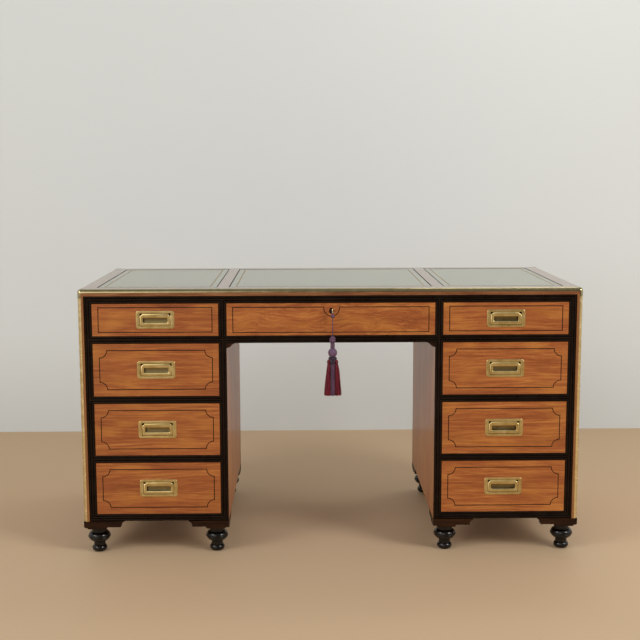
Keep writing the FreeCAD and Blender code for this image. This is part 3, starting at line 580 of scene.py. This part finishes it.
def quarter_bar(start, run, first, second):
    """Quarter-round bar: an arc about a straight axis, with the two flat sides back to the axis and each end
    closed by drawing the section in to the axis."""
    section = np.concatenate([np.zeros((1, 3)), quarter_arc(first, second) * bar_r, np.zeros((1, 3))])
    girth, along = np.array([0, 1, 1, 0])[None, :, None], np.array([0, 0, 1, 1])[None, :, None]
    return np.array(start, float) + section[:, None, :] * girth + np.array(run, float) * along


bars, caps, posts = [], [], []
turn_a, turn_b = np.meshgrid(quarter, quarter, indexing="ij")
ball = np.stack([np.cos(turn_b) * np.cos(turn_a), np.cos(turn_b) * np.sin(turn_a), np.sin(turn_b)], axis=-1)
rim = np.repeat([[cap_inner_r], [cap_r]], len(quarter), axis=1)
for sx in (-1, 1):
    bars.append(quarter_bar((sx * edge_mid_x, leg - edge_mid_y, edge_mid_z), (0, 2 * (edge_mid_y - leg), 0),
                            (sx, 0, 0), (0, 0, 1)))
    bars.append(quarter_bar((leg - edge_mid_x, sx * edge_mid_y, edge_mid_z), (2 * (edge_mid_x - leg), 0, 0),
                            (0, sx, 0), (0, 0, 1)))
    for sy in (-1, 1):
        heart = np.array([sx * edge_mid_x, sy * edge_mid_y, edge_mid_z])
        ways = np.array([(sx, 0, 0), (0, sy, 0), (0, 0, 1)], float)
        caps.append(heart + cap_r * ball @ ways)
        for back, first, second in ((0, 1, 2), (1, 0, 2), (2, 0, 1)):
            run, arc = -ways[back], quarter_arc(ways[first], ways[second])
            caps.append(heart + np.stack([arc * cap_r, arc * cap_r + run * leg], axis=1))
            caps.append(heart + run * leg + rim[..., None] * arc[None])
        posts.append(quarter_bar((sx * edge_mid_x, sy * edge_mid_y, base_z),
                                 (0, 0, edge_mid_z - leg - base_z), (sx, 0, 0), (0, sy, 0)))
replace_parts(piece("brass_edge_bars", "root", shaded_edge_brass, bars), "brass_top_edge")
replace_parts(piece("brass_round_caps", "root", shaded_edge_brass, caps), "brass_corner_caps")
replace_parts(piece("brass_round_strips", "root", strip_brass, posts), "brass_corner_strips")

# Drawers: fronts of one veneer with its grain across them on a solid core, and an inlaid dark string.
# The string's corners are hollowed on the deep drawers and square on the shallow. Pale sides are
# dovetailed into the ends of the fronts.
drawer_veneer = grained_wood("drawer_veneer", 0, veneer_tones, 0.25, coords="UV")
veneer_depth, glue_line, string_width, string_lift = 0.00024, 0.00001, 0.0024, 0.00003
eighth = np.linspace(np.pi / 4, 0, 7)
straight = np.linspace(-1, 1, 5)


def mirrored_side(left, half_straight, half_out):
    """Half a corner, a straight run and the same half mirrored."""
    bar = np.stack([straight * half_straight, np.full(len(straight), half_out)], axis=-1)
    return np.concatenate([left, bar, left[::-1] * (-1, 1)])


def string_side(half_along, half_out, notch):
    """One side of the string, from the middle of one corner to the middle of the next.

    The corner is a quarter circle about the rectangle's own corner, so it hollows the outline."""
    left = np.stack([notch * np.cos(eighth) - half_along, half_out - notch * np.sin(eighth)], axis=-1)
    return mirrored_side(left, half_along - notch, half_out)


def edge_side(half_along, half_out, string_along, notch):
    """The front's own edge beside that side of the string, from corner to corner."""
    left = np.linspace(-half_along, notch - string_along, len(eighth))
    line = np.concatenate([left, straight * (string_along - notch), -left[::-1]])
    return np.stack([line, np.full(len(line), half_out)], axis=-1)


def hole_side(half_along, half_out, corner):
    """One side of a round-cornered opening, from the middle of one corner to the middle of the next."""
    across, up = corner - half_along - corner * np.sin(eighth), half_out - corner + corner * np.cos(eighth)
    return mirrored_side(np.stack([across, up], axis=-1), half_along - corner, half_out)


def stood(flat, centre, depth):
    """2-D points across and up, stood at one depth about a centre."""
    across, up = flat[..., 0] + centre[0], flat[..., 1] + centre[1]
    return np.stack([across, np.full(across.shape, depth), up], axis=-1)


def mapped(flats, centre, depth, shift):
    """2-D grids stood at one depth, each mapped by its own points, shifted to their place in the grain."""
    return [(stood(flat, centre, depth), flat + np.array(shift)) for flat in flats]


four_sides = [np.array(axes, float) for axes in (((1, 0), (0, 1)), ((0, -1), (1, 0)), ((-1, 0), (0, -1)),
                                                 ((0, 1), (-1, 0)))]


def veneered_front(centre, half, inset, notch, hole, depth, shift):
    """Border and field of a drawer front as flat rings, and the line between them.

    The border runs from the string to the edge and the field from the handle's opening to the string, each
    side by straight lines between matching points. Maps are in metres, along and across the grain."""
    borders, fields, line = [], [], []
    string = np.array(half) - np.array(inset)
    for number, axes in enumerate(four_sides):
        along, out = (0, 1) if number % 2 == 0 else (1, 0)
        inner = string_side(string[along], string[out], notch) @ axes
        outer = edge_side(half[along], half[out], string[along], notch) @ axes
        opening = hole_side(hole[along], hole[out], hole[2]) @ axes
        borders.append(np.stack([inner, outer]))
        fields.append(np.stack([opening, inner]))
        line.append(inner)
    line = np.concatenate(line)
    keep = np.linalg.norm(line - np.roll(line, 1, axis=0), axis=1) > weld_reach / 2
    return mapped(borders, centre, depth, shift), mapped(fields, centre, depth, shift), line[keep]


def inlaid_front(name, body, centre, half, inset, notch, hole, face_y, shift):
    """Veneer sheet and string of one front, seen from the side that face_y lies on."""
    way = math.copysign(1.0, face_y)
    depth = face_y + way * (veneer_depth + glue_line)
    borders, fields, line = veneered_front(centre, half, inset, notch, hole, depth, shift)
    sheet = piece(name + "_veneer", body, drawer_veneer, borders + fields, (0, way, 0))
    thicken(sheet, veneer_depth)
    string = stood(ribbon(line, string_width), centre, depth + way * string_lift)
    thicken(piece(name + "_string", body, string_wood, [string], (0, way, 0)), inlay_depth)


shallow_inset, deep_inset, hollow = (0.0175, 0.0105), (0.018, 0.019), 0.021
handle_hole, no_hole = (0.05415, 0.02565, 0.00815), (0.0, 0.0, 0.0)
rear_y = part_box("rear_panels")[1].y
pedestal_drawers = [(hand, side, number, (hand * (in_x + out_x) / 2, floor + height / 2), height)
                    for hand, side in ((-1, "left"), (1, "right"))
                    for number, floor, height in zip((1, 2, 3, 4), floors, heights)]
boxes, fronts = ["centre_drawer_box"], ["centre_drawer_front"]
for hand, side, number, opening, height in pedestal_drawers:
    body = f"{side}_drawer_{number}"
    boxes.append(body + "_box")
    fronts.append(body + "_front")
    low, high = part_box(body + "_front")
    centre, half = ((low.x + high.x) / 2, (low.z + high.z) / 2), ((high.x - low.x) / 2, (high.z - low.z) / 2)
    inset, notch = (shallow_inset, 0.0) if number == 1 else (deep_inset, hollow)
    shift = (1.7 * number + 9.1 * hand, 0.61 * number + 3.3 * hand)
    inlaid_front(body, body, centre, half, inset, notch, handle_hole, low.y, shift)
    inlaid_front(f"rear_{side}_{number}", "root", opening, ((out_x - in_x) / 2, height / 2), inset, notch,
                 no_hole, rear_y, (shift[0] + 31.0, shift[1]))
inlaid_front("rear_centre", "root", (0.0, (frieze_z + frieze_top) / 2), (knee_x, (frieze_top - frieze_z) / 2),
             shallow_inset, 0.0, no_hole, rear_y, (47.0, 2.0))
dress(level_veneer, *fronts)
lining_tones = (150, 112, 70), (190, 152, 104), (212, 178, 130), (204, 164, 112)
box_wood = grained_wood("drawer_box_wood", 1, lining_tones, 0.0)
dress(box_wood, *boxes)
tail_base, tail_end, tail_long, tail_pitch, tail_lift = 0.0075, 0.0105, 0.0115, 0.037, 0.00002
for front in fronts:
    low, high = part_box(front)
    count = round((high.z - low.z) / tail_pitch)
    rows = low.z + (high.z - low.z) * (np.arange(count) + 0.5) / count
    tails = []
    for hand, end_x in ((-1, low.x - tail_lift), (1, high.x + tail_lift)):
        edges = hand * np.array([-1.0, 1.0])
        up = rows[:, None, None] + np.stack([edges * tail_base, edges * tail_end])[None]
        back = np.broadcast_to(np.array([[high.y], [high.y - tail_long]]), up.shape)
        tails += list(np.stack([np.full(up.shape, end_x), back, up], axis=-1))
    thicken(piece(front.replace("front", "dovetails"), front.replace("_front", ""), box_wood,
                  tails, "kept"), inlay_depth)

# Wide drawer's front: the string dips in a half round under the keyhole, and the veneer swirls.
# The keyhole's liner stands in an opening of the veneer, with a dark oval let in round it as painted shade of
# the keyhole.
swirled_veneer = grained_wood("swirled_veneer", 0, veneer_tones, 0.25, coords="UV", swirl=0.07,
                              waves=(6.0, 11.0))
low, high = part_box("centre_drawer_front")
centre, half = (0.0, (low.z + high.z) / 2), (high.x, (high.z - low.z) / 2)
depth, shift = low.y - veneer_depth - glue_line, (60.0, 5.0)
inset_x, inset_top, inset_low = shallow_inset[0], 0.0113, 0.0086
borders = veneered_front(centre, half, (inset_x, inset_top), 0.0, no_hole, depth, shift)[0]
string_x, string_top, string_low = half[0] - inset_x, half[1] - inset_top, inset_low - half[1]
dip_x, dip_r, dip_wall = 0.0017, 0.02175, 0.0038
lock_x, lock_z = 0.004, high.z - 0.021 - centre[1]
liner_r, liner_half, liner_drop = 0.00425, 0.00325, 0.00955
oval_x, oval_z, oval_half_x, oval_half_z = 0.0002, lock_z - 0.0008, 0.0056, 0.0088
sweep = np.linspace(np.pi, 2 * np.pi, 33)
half_round = np.stack([dip_x + dip_r * np.cos(sweep), string_top - dip_wall + dip_r * np.sin(sweep)], axis=-1)
dip = np.concatenate([[(dip_x - dip_r, string_top)], half_round, [(dip_x + dip_r, string_top)]])
under_dip = np.stack([np.stack([dip[:, 0], np.full(len(dip), -string_top)], axis=-1), dip])


def box_grid(low_x, high_x, low_y, high_y):
    """Rectangle as a grid of two rows and two columns."""
    return box_line(low_x, high_x, low_y, high_y)[[0, 1, 3, 2]].reshape(2, 2, 2)


beside_dip = [box_grid(first, last, -string_top, string_top)
              for first, last in ((-string_x, dip_x - dip_r), (dip_x + dip_r, string_x))]
eye_drop = 0.0035
eye = np.array([lock_x, lock_z - eye_drop])
corner_turns = [math.atan2(string_top - eye[1], dip_x + sign * dip_r - eye[0]) for sign in (-1, 1)]
slot_turns = [math.atan2(eye_drop - liner_drop, sign * liner_half) for sign in (-1, 1)]
turns = np.sort(np.concatenate([np.linspace(-np.pi, np.pi, 97)[:-1], corner_turns, slot_turns]))
turns = np.append(turns, turns[0] + 2 * np.pi)
ray = np.stack([np.cos(turns), np.sin(turns)], axis=-1)


def leave_circle(middle, radius):
    """How far each ray runs from the eye before it leaves a circle."""
    apart = eye - np.array(middle)
    along = ray @ apart
    return np.sqrt(along ** 2 - apart @ apart + radius ** 2) - along


def leave_box(low_x, high_x, low_z, high_z):
    """How far each ray runs from the eye before it leaves an upright box."""
    walls = np.where(ray > 0, (high_x, high_z), (low_x, low_z)) - eye
    return np.min(walls / np.where(abs(ray) < 1e-9, 1e-9, ray), axis=1)


to_round = leave_circle((dip_x, string_top - dip_wall), dip_r)
to_walls = leave_box(dip_x - dip_r, dip_x + dip_r, -1.0, string_top)
below = eye[1] + to_round * ray[:, 1] < string_top - dip_wall
to_dip = np.where(below, to_round, to_walls)
to_liner = np.maximum(leave_circle((lock_x, lock_z), liner_r),
                      leave_box(lock_x - liner_half, lock_x + liner_half, lock_z - liner_drop, lock_z))
keyhole_ring = eye + np.stack([to_liner, to_dip])[..., None] * ray
fields = mapped((under_dip, keyhole_ring, *beside_dip), centre, depth, shift)
thicken(piece("centre_drawer_veneer", "centre_drawer", swirled_veneer, borders + fields,
              (0, -1, 0)), veneer_depth)
dipped = np.concatenate([[(-string_x, string_top), (-string_x, string_low), (string_x, string_low),
                          (string_x, string_top)], dip[::-1]])
thicken(piece("centre_drawer_string", "centre_drawer", string_wood,
              [stood(ribbon(dipped, string_width), centre, depth - string_lift)], (0, -1, 0)), inlay_depth)
# The dark oval round the keyhole is painted shade of the keyhole, laid in the string's dark wood.
oval = np.stack([oval_x + oval_half_x * np.cos(turns), oval_z + oval_half_z * np.sin(turns)], axis=-1)
keyhole_shade_oval = np.stack([keyhole_ring[0], oval])
thicken(piece("keyhole_shade_oval", "centre_drawer", string_wood,
              [stood(keyhole_shade_oval, centre, depth - string_lift)], (0, -1, 0)), inlay_depth)

# Flush handles: cast brass plates with a recessed pocket, a hinged bail with a rounded grip and scooped upper
# corners, and four slotted screws. The pocket is darkened by painted shade, less so on its floor.
handle_brass = aged_brass("handle_brass", (192, 166, 106), (206, 181, 121), (218, 196, 138), 0.3)
face_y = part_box("left_drawer_1_front")[0].y
inward = depth_on(handle_brass)
painted_pocket_shade = stretch_value(handle_brass, inward, face_y - 0.0002, face_y + 0.0014, 0.0, 0.9)
floor_shade_eased = stretch_value(handle_brass, inward, face_y + 0.0090, face_y + 0.0108, 1.0, 0.72)
# Painted shade: all that lies more than about a millimetre behind the face is laid over with dark brown,
# eased on the dish floor.
lay_over(handle_brass, combine(handle_brass, painted_pocket_shade, floor_shade_eased, "MULTIPLY"), (40, 22, 8))
# Dark finish for the screw slots: their dirt and the painted shade of their depth; the keyhole liner takes it
# too, as painted shade of the hole.
slot_dirt_and_shade = speckled("screw_slot_dirt_and_shade", (40, 27, 13), 0.8, 900.0, 2.0, 0.5,
                      [(0.35, (26, 17, 8)), (0.65, (58, 40, 20))], Metallic=0.4)[0]


def round_box(half_x, low_z, high_z, corner, scoop):
    """Closed outline of a round-cornered box: a quarter circle of seven points at each corner.

    With a scoop, the two upper corners are hollowed by a quarter circle about the corner itself."""
    turn = np.linspace(0, np.pi / 2, 7)
    arc = np.concatenate([start + turn for start in np.pi / 2 * np.arange(4)])
    heart_x = np.repeat([1, -1, -1, 1], 7) * (half_x - corner)
    heart_z = np.repeat([high_z - corner, high_z - corner, low_z + corner, low_z + corner], 7)
    flat = np.stack([heart_x + corner * np.cos(arc), heart_z + corner * np.sin(arc)], axis=-1)
    if scoop > 0:
        hollowed = np.stack([half_x - scoop * np.sin(turn), high_z - scoop * np.cos(turn)], axis=-1)
        flat[:7], flat[7:14] = hollowed, hollowed[::-1] * (-1, 1)
    return np.concatenate([flat, flat[:1]])


def cast_rings(stations, centre):
    """Surface through round-cornered outlines one after another, each at its own depth behind the face."""
    return np.stack([stood(round_box(*outline), centre, face_y + depth) for *outline, depth in stations])


plate_x, plate_z, plate_corner, plate_back = 0.054, 0.0255, 0.008, 0.0005
plate_flat, plate_rise, edge_round, mouth_round = -0.0002, 0.0010, 0.0014, 0.0010
pocket_x, pocket_z, pocket_corner, pocket_rim, pocket_dish = 0.04375, 0.01825, 0.0006, 0.0086, 0.0032
bend = np.linspace(0, np.pi / 2, 6)
plate_rings = [(plate_x, -plate_z, plate_z, plate_corner, 0.0, plate_back)]
plate_rings += [(plate_x - d, d - plate_z, plate_z - d, plate_corner - d, 0.0,
                 plate_flat - plate_rise * np.sin(a)) for d, a in zip(edge_round * (1 - np.cos(bend)), bend)]
plate_rings += [(pocket_x + d, -pocket_z - d, pocket_z + d, pocket_corner + d, 0.0,
                 plate_flat - plate_rise * np.cos(a)) for d, a in zip(mouth_round * (1 - np.sin(bend)), bend)]
plate_rings += [(pocket_x, -pocket_z, pocket_z, pocket_corner, 0.0, pocket_rim)]
bail_outer = np.array([0.0430, -0.0175, 0.0175, 0.0035, 0.0060])
bail_inner = np.array([0.03465, -0.00825, 0.00575, 0.0020, 0.0])
bail_face, bail_round, bail_back = -0.0010, 0.0011, 0.004
bail_rings = [(*(bail_outer + (bail_inner - bail_outer) * t), bail_round * (2 * t - 1) ** 4 + bail_face)
              for t in np.linspace(0, 1, 11)]
bail_rings += [(*bail_inner, bail_back), (*bail_outer, bail_back), bail_rings[0]]
dish_z = np.linspace(-pocket_z, pocket_z, 15)
dish_y = face_y + pocket_rim + pocket_dish * (1 - (dish_z / pocket_z) ** 2)
head_turn = np.linspace(0, 2 * np.pi, 25)
head_circle = np.stack([np.cos(head_turn), np.sin(head_turn)], axis=-1)
head_profile = [(0.0023, -0.0011), (0.0021, -0.00128), (0.0, -0.00132)]
screw_x, screw_z, slot_long, slot_wide, slot_y = 0.0489, 0.016, 0.0020, 0.00032, face_y - 0.00134
for hand, side, number, centre, _ in pedestal_drawers:
    body = f"{side}_drawer_{number}"
    dish = np.stack([np.stack([np.full(len(dish_z), centre[0] + sign * pocket_x), dish_y, centre[1] + dish_z],
                              axis=-1) for sign in (-1, 1)], axis=1)
    rim = np.copy(dish)
    rim[..., 1] = face_y + pocket_rim
    plate = [cast_rings(plate_rings, centre), dish, np.stack([rim[:, 0], dish[:, 0]], axis=1),
             np.stack([dish[:, 1], rim[:, 1]], axis=1)]
    slots = []
    for order, (sx, sz) in enumerate(((-1, -1), (1, -1), (1, 1), (-1, 1))):
        spot = (centre[0] + sx * screw_x, centre[1] + sz * screw_z)
        plate.append(np.stack([stood(r * head_circle, spot, face_y + y) for r, y in head_profile]))
        tilt = 0.4 + 1.3 * order + 0.7 * number + hand
        across = np.array([(np.cos(tilt), np.sin(tilt)), (-np.sin(tilt), np.cos(tilt))])
        slots.append(stood(box_grid(-slot_long, slot_long, -slot_wide, slot_wide) @ across, spot, slot_y))
    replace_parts(piece(body + "_cast_plate", body, handle_brass, plate, "kept"),
                body + "_handle_plate")
    thicken(piece(body + "_screw_slots", body, slot_dirt_and_shade, slots, (0, -1, 0)), inlay_depth)
    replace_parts(piece(body + "_cast_bail", f"{side}_bail_{number}", handle_brass,
                      [cast_rings(bail_rings, centre)]), body + "_bail")

# Lock of the wide drawer: a steel case let into the back of its front, with its bolt, a keyhole liner
# darkened as painted shade of the hole, and a bright key.
steel, filing = speckled("lock_steel", (150, 150, 148), 0.4, [900.0, 60.0, 900.0], 3.0, 0.6,
                         [(0.35, (112, 110, 106)), (0.65, (168, 168, 164))], Metallic=1.0)
vary_gloss(steel, filing, 0.32, 0.52)
dress(steel, "lock_case", "lock_bolt")
dress(aged_brass("key_brass", (206, 182, 132), (228, 208, 162), (240, 226, 190), 0.2), "key")
# The liner takes the dark slot finish: painted shade of the keyhole.
dress(slot_dirt_and_shade, "escutcheon")

# Feet and brackets: turned black feet under small dark ogee brackets at each pedestal corner, and two
# little brackets in the kneehole's upper corners.
bracket_tones = (24, 12, 5), (42, 22, 9), (60, 34, 15), (54, 30, 12)
bracket_wood = grained_wood("bracket_wood", 0, bracket_tones, 0.0)
set_values(bracket_wood, Specular_IOR_Level=0.1)
dress(bracket_wood, "base_brackets", "kneehole_brackets")


def arc_between(first, middle, last, count):
    """Points on the circle through three points, from the first to the last by way of the middle."""
    first, middle, last = (np.array(p, float) for p in (first, middle, last))
    a, b = middle - first, last - first
    twice = 2 * (a[0] * b[1] - a[1] * b[0])
    heart = first + np.array([b[1] * (a @ a) - a[1] * (b @ b), a[0] * (b @ b) - b[0] * (a @ a)]) / twice
    radius = np.linalg.norm(first - heart)
    angles = [math.atan2(*(p - heart)[::-1]) for p in (first, middle, last)]
    sweep = (angles[2] - angles[0]) % (2 * np.pi)
    if (angles[1] - angles[0]) % (2 * np.pi) > sweep:
        sweep -= 2 * np.pi
    turns = angles[0] + np.linspace(0, 1, count) * sweep
    return heart + radius * np.stack([np.cos(turns), np.sin(turns)], axis=-1)


def turned_form(outline, centre, around=56):
    """Surface swept by an outline of radius and height about an upright line."""
    angle = np.linspace(0, 2 * np.pi, around + 1)
    x = centre[0] + outline[:, :1] * np.cos(angle)
    y = centre[1] + outline[:, :1] * np.sin(angle)
    return np.stack([x, y, np.repeat(outline[:, 1:], around + 1, axis=1)], axis=-1)


foot_h, foot_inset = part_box("turned_feet")[1].z, 0.037
toe_z, neck_z, bun_z, bun_top = (share * foot_h for share in (0.255, 0.4, 0.605, 0.79))
sole_r, toe_r, neck_r, bun_r, crown_r, collar_r = 0.013, 0.0215, 0.0166, 0.0323, 0.0313, 0.0215
ridge, bulge = 0.02 * foot_h, 0.0026
ridge_low, ridge_high = bun_z - ridge, bun_z + ridge
lower_r, upper_r = (neck_r + crown_r) / 2 + bulge, (collar_r + crown_r) / 2 + bulge
lower_z, upper_z = (neck_z + ridge_low) / 2 - ridge, (bun_top + ridge_high) / 2 + ridge
foot_line = np.concatenate([
    [(0, 0)],
    arc_between((sole_r, 0), (toe_r, toe_z / 2), (neck_r, toe_z), 16),
    arc_between((neck_r, neck_z), (lower_r, lower_z), (crown_r, ridge_low), 14),
    arc_between((crown_r, ridge_low), (bun_r, bun_z - ridge / 2), (crown_r, bun_z), 7)[1:],
    arc_between((crown_r, bun_z), (bun_r, bun_z + ridge / 2), (crown_r, ridge_high), 7)[1:],
    arc_between((crown_r, ridge_high), (upper_r, upper_z), (collar_r, bun_top), 14)[1:],
    [(collar_r, foot_h), (0, foot_h)]])
foot_xs = [sign * x for sign in (-1, 1) for x in (knee_x + foot_inset, desk_high.x - foot_inset)]
foot_ys = [sign * (desk_high.y - foot_inset) for sign in (-1, 1)]
feet = [turned_form(foot_line, (x, y)) for x in foot_xs for y in foot_ys]
foot_black = black_polish("foot_black", 0.17, 0.36, (255, 255, 250))
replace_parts(piece("turned_feet_round", "root", foot_black, feet), "turned_feet")


# Tassel: a silk loop through the key's bow, gathered in a knot, a short cord, a head wound with silk, and
# three small bound hanks under its collar: two crimson ones with a purple one between them.
def silk(name, dark, usual, light, along):
    """Silk thread: fine noise drawn out along the thread varies its tone, under a soft sheen."""
    material, lustre = speckled(name, usual, 0.5, [1500.0, 1500.0, along], 3.0, 0.6,
                                [(0.36, dark), (0.5, usual), (0.64, light)],
                                Sheen_Weight=0.06, Sheen_Roughness=0.4, Specular_IOR_Level=0.3)
    vary_gloss(material, lustre, 0.42, 0.62)
    relief(material, lustre, 0.2, 0.0002)
    return material


purple_silk = silk("purple_silk", (56, 32, 50), (84, 54, 76), (122, 94, 116), 200.0)
lilac_silk = silk("lilac_silk", (60, 36, 60), (96, 68, 92), (136, 108, 132), 200.0)
dark_silk = silk("dark_silk", (26, 18, 30), (44, 31, 48), (70, 52, 74), 200.0)
crimson_silk = silk("crimson_silk", (42, 4, 14), (98, 12, 29), (150, 30, 50), 60.0)
cord_low, cord_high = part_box("tassel_cord")
tassel_x, tassel_y = (cord_low.x + cord_high.x) / 2, (cord_low.y + cord_high.y) / 2
cord_r, knot_z, head_z = (cord_high.x - cord_low.x) / 2, cord_high.z, cord_low.z
hook_z, knot_h, knot_r, loop_r, strand_r = knot_z + 0.0133, 0.010, 0.0052, 0.0033, 0.0008


def ring(middle, radius, tube, around=40, section=14):
    """Round ring about the front-to-back line through its middle."""
    a, b = np.meshgrid(np.linspace(0, 2 * np.pi, around + 1), np.linspace(0, 2 * np.pi, section + 1),
                       indexing="ij")
    reach = radius + tube * np.cos(b)
    return np.stack([middle[0] + reach * np.cos(a), middle[1] + tube * np.sin(b),
                     middle[2] + reach * np.sin(a)], axis=-1)


def wound_form(outline, threads, twist, depth, aside=0.0, forth=0.0):
    """Turned form whose radius swells and sinks round it, as wound thread does: a wave of so many threads
    that turns with height. It stands on the tassel's own line or beside it."""
    angle = np.linspace(0, 2 * np.pi, threads * 6 + 1)
    radius = outline[:, :1] * (1 + depth * np.cos(threads * angle[None] + twist * outline[:, 1:]))
    return np.stack([tassel_x + aside + radius * np.cos(angle), tassel_y + forth + radius * np.sin(angle),
                     np.repeat(outline[:, 1:], len(angle), axis=1)], axis=-1)


def belly(top, low, top_r, wide_r, low_r, count, wide_z=None):
    """Outline that leaves the axis at its top, swells in one arc through its widest point and goes back to
    the axis below. The widest point is half way down where no height is given."""
    wide_z = (top + low) / 2 if wide_z is None else wide_z
    return np.concatenate([[(0, top)], arc_between((top_r, top), (wide_r, wide_z), (low_r, low), count),
                           [(0, low)]])


knot_line = belly(knot_z + knot_h, knot_z, cord_r, knot_r, cord_r, 18)
loop = piece("tassel_loop_silk", "tassel", purple_silk,
             [ring((tassel_x, tassel_y, hook_z), loop_r, strand_r), wound_form(knot_line, 9, 900.0, 0.08)])
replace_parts(loop, "tassel_loop")
knob_z, stem_z, globe_z = head_z - 0.020, head_z - 0.036, head_z - 0.060
knob_r, stem_r, globe_r, ruff_r, ruff_low_r = 0.0080, 0.0056, 0.0126, 0.0117, 0.0078
stem = [(stem_r, z) for z in np.linspace(knob_z, stem_z, 12)[1:]]
head_line = np.concatenate([belly(head_z, knob_z, cord_r, knob_r, stem_r, 18)[:-1], stem, [(0, stem_z)]])
head = piece("tassel_knob_silk", "tassel", purple_silk, [wound_form(head_line, 5, 620.0, 0.15)])
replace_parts(head, "tassel_head")
globe_line = belly(stem_z, globe_z, stem_r, globe_r, stem_r, 20)
globe = piece("tassel_ball_silk", "tassel", lilac_silk, [wound_form(globe_line, 26, 160.0, 0.016)])
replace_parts(globe, "tassel_head")
collar_z, bind_z = globe_z - 0.0085, globe_z - 0.0195
collar_line = belly(globe_z, collar_z, stem_r, ruff_r, ruff_low_r, 14)
collar = piece("tassel_collar_silk", "tassel", dark_silk, [wound_form(collar_line, 30, 0.0, 0.025)])
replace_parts(collar, "tassel_head")
bud_top, bud_wide_z, bud_top_r, bud_r, bud_low_r = collar_z + 0.001, collar_z - 0.0045, 0.002, 0.0055, 0.0036
bud_x, bud_y, bind_r, bind_tube = 0.0100, -0.0040, 0.0041, 0.0012
bud_line = belly(bud_top, bind_z, bud_top_r, bud_r, bud_low_r, 12, bud_wide_z)
section = np.linspace(0, 2 * np.pi, 11)
bind_line = np.stack([bind_r + bind_tube * np.cos(section), bind_z + bind_tube * np.sin(section)], axis=-1)
buds = [wound_form(bud_line, 11, 260.0, 0.07, side * bud_x) for side in (-1, 1)]
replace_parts(piece("tassel_buds", "tassel", crimson_silk, buds), "tassel_skirt")
bindings = [wound_form(bind_line, 8, 0.0, 0.03, side * bud_x, forth)
            for side, forth in ((-1, 0), (1, 0), (0, bud_y))]
bindings.append(wound_form(bud_line, 11, 260.0, 0.07, 0.0, bud_y))
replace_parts(piece("tassel_bindings", "tassel", dark_silk, bindings), "tassel_skirt")
skirt_low, thread_top, golden_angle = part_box("tassel_skirt")[0].z, bind_z + 0.001, 2.399963


def hank(top, low, half_top, half_low, count, thick, seed, rings=12, around=5):
    """Hanging threads as thin tubes: each starts and ends at its own spot of two ovals, spread evenly by the
    golden angle, eased outward as it falls, and sways a little by a slow sine. Tubes close at both ends."""
    rng = np.random.default_rng(seed)
    order = (np.arange(count) + 0.5) / count
    angle = np.arange(count) * golden_angle
    spot = np.sqrt(order)[:, None] * np.stack([np.cos(angle), np.sin(angle)], axis=-1)
    drop = np.concatenate([[0], np.linspace(0, 1, rings), [1]])
    girth = thick * (np.arange(rings + 2) % (rings + 1) > 0)[None, :, None]
    end_z = skirt_low + rng.uniform(0.0004, 0.004, count)
    start = spot * half_top + np.array(top)
    end = spot * half_low + np.array(low) + rng.normal(0, 0.0005, (count, 2))
    sway = rng.normal(0, 0.0004, (count, 1, 2)) * np.sin(2 * np.pi * drop)[None, :, None]
    ease = (drop ** 0.7)[None, :, None]
    flat = start[:, None] * (1 - ease) + end[:, None] * ease + sway + (tassel_x, tassel_y)
    height = thread_top + (end_z[:, None] - thread_top) * drop
    turn = np.linspace(0, 2 * np.pi, around + 1)
    x = flat[..., 0, None] + girth * np.cos(turn)
    y = flat[..., 1, None] + girth * np.sin(turn)
    return list(np.stack([x, y, np.repeat(height[..., None], around + 1, axis=-1)], axis=-1))


hanks = hank((-bud_x, 0.0), (-0.0143, 0.0), (0.0040, 0.0040), (0.0090, 0.0088), 150, 0.00068, 3)
hanks += hank((bud_x, 0.0), (0.0147, 0.0), (0.0040, 0.0040), (0.0094, 0.0088), 150, 0.00068, 4)
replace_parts(piece("tassel_hanks", "tassel", crimson_silk, hanks), "tassel_skirt")
between = hank((0.0, bud_y), (0.0, -0.0035), (0.0050, 0.0040), (0.0056, 0.0058), 96, 0.00072, 5)
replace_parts(piece("tassel_middle_threads", "tassel", purple_silk, between), "tassel_skirt")

cord_curve = bpy.data.curves.new("tassel_cord_silk", "CURVE")
cord_curve.dimensions = "3D"
spline = cord_curve.splines.new("NURBS")
route = np.array([(tassel_x, tassel_y, z, 1) for z in (knot_z, (knot_z + head_z) / 2, head_z)])
spline.points.add(len(route) - 1)
spline.points.foreach_set("co", route.ravel())
spline.order_u = 3
spline.use_endpoint_u = True
cord_curve.bevel_depth = cord_r
cord_curve.bevel_resolution = 4
cord_curve.materials.append(purple_silk)
cord = bpy.data.objects.new("tassel_cord_silk", cord_curve)
scene.collection.objects.link(cord)
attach(cord, "tassel")
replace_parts(cord, "tassel_cord")
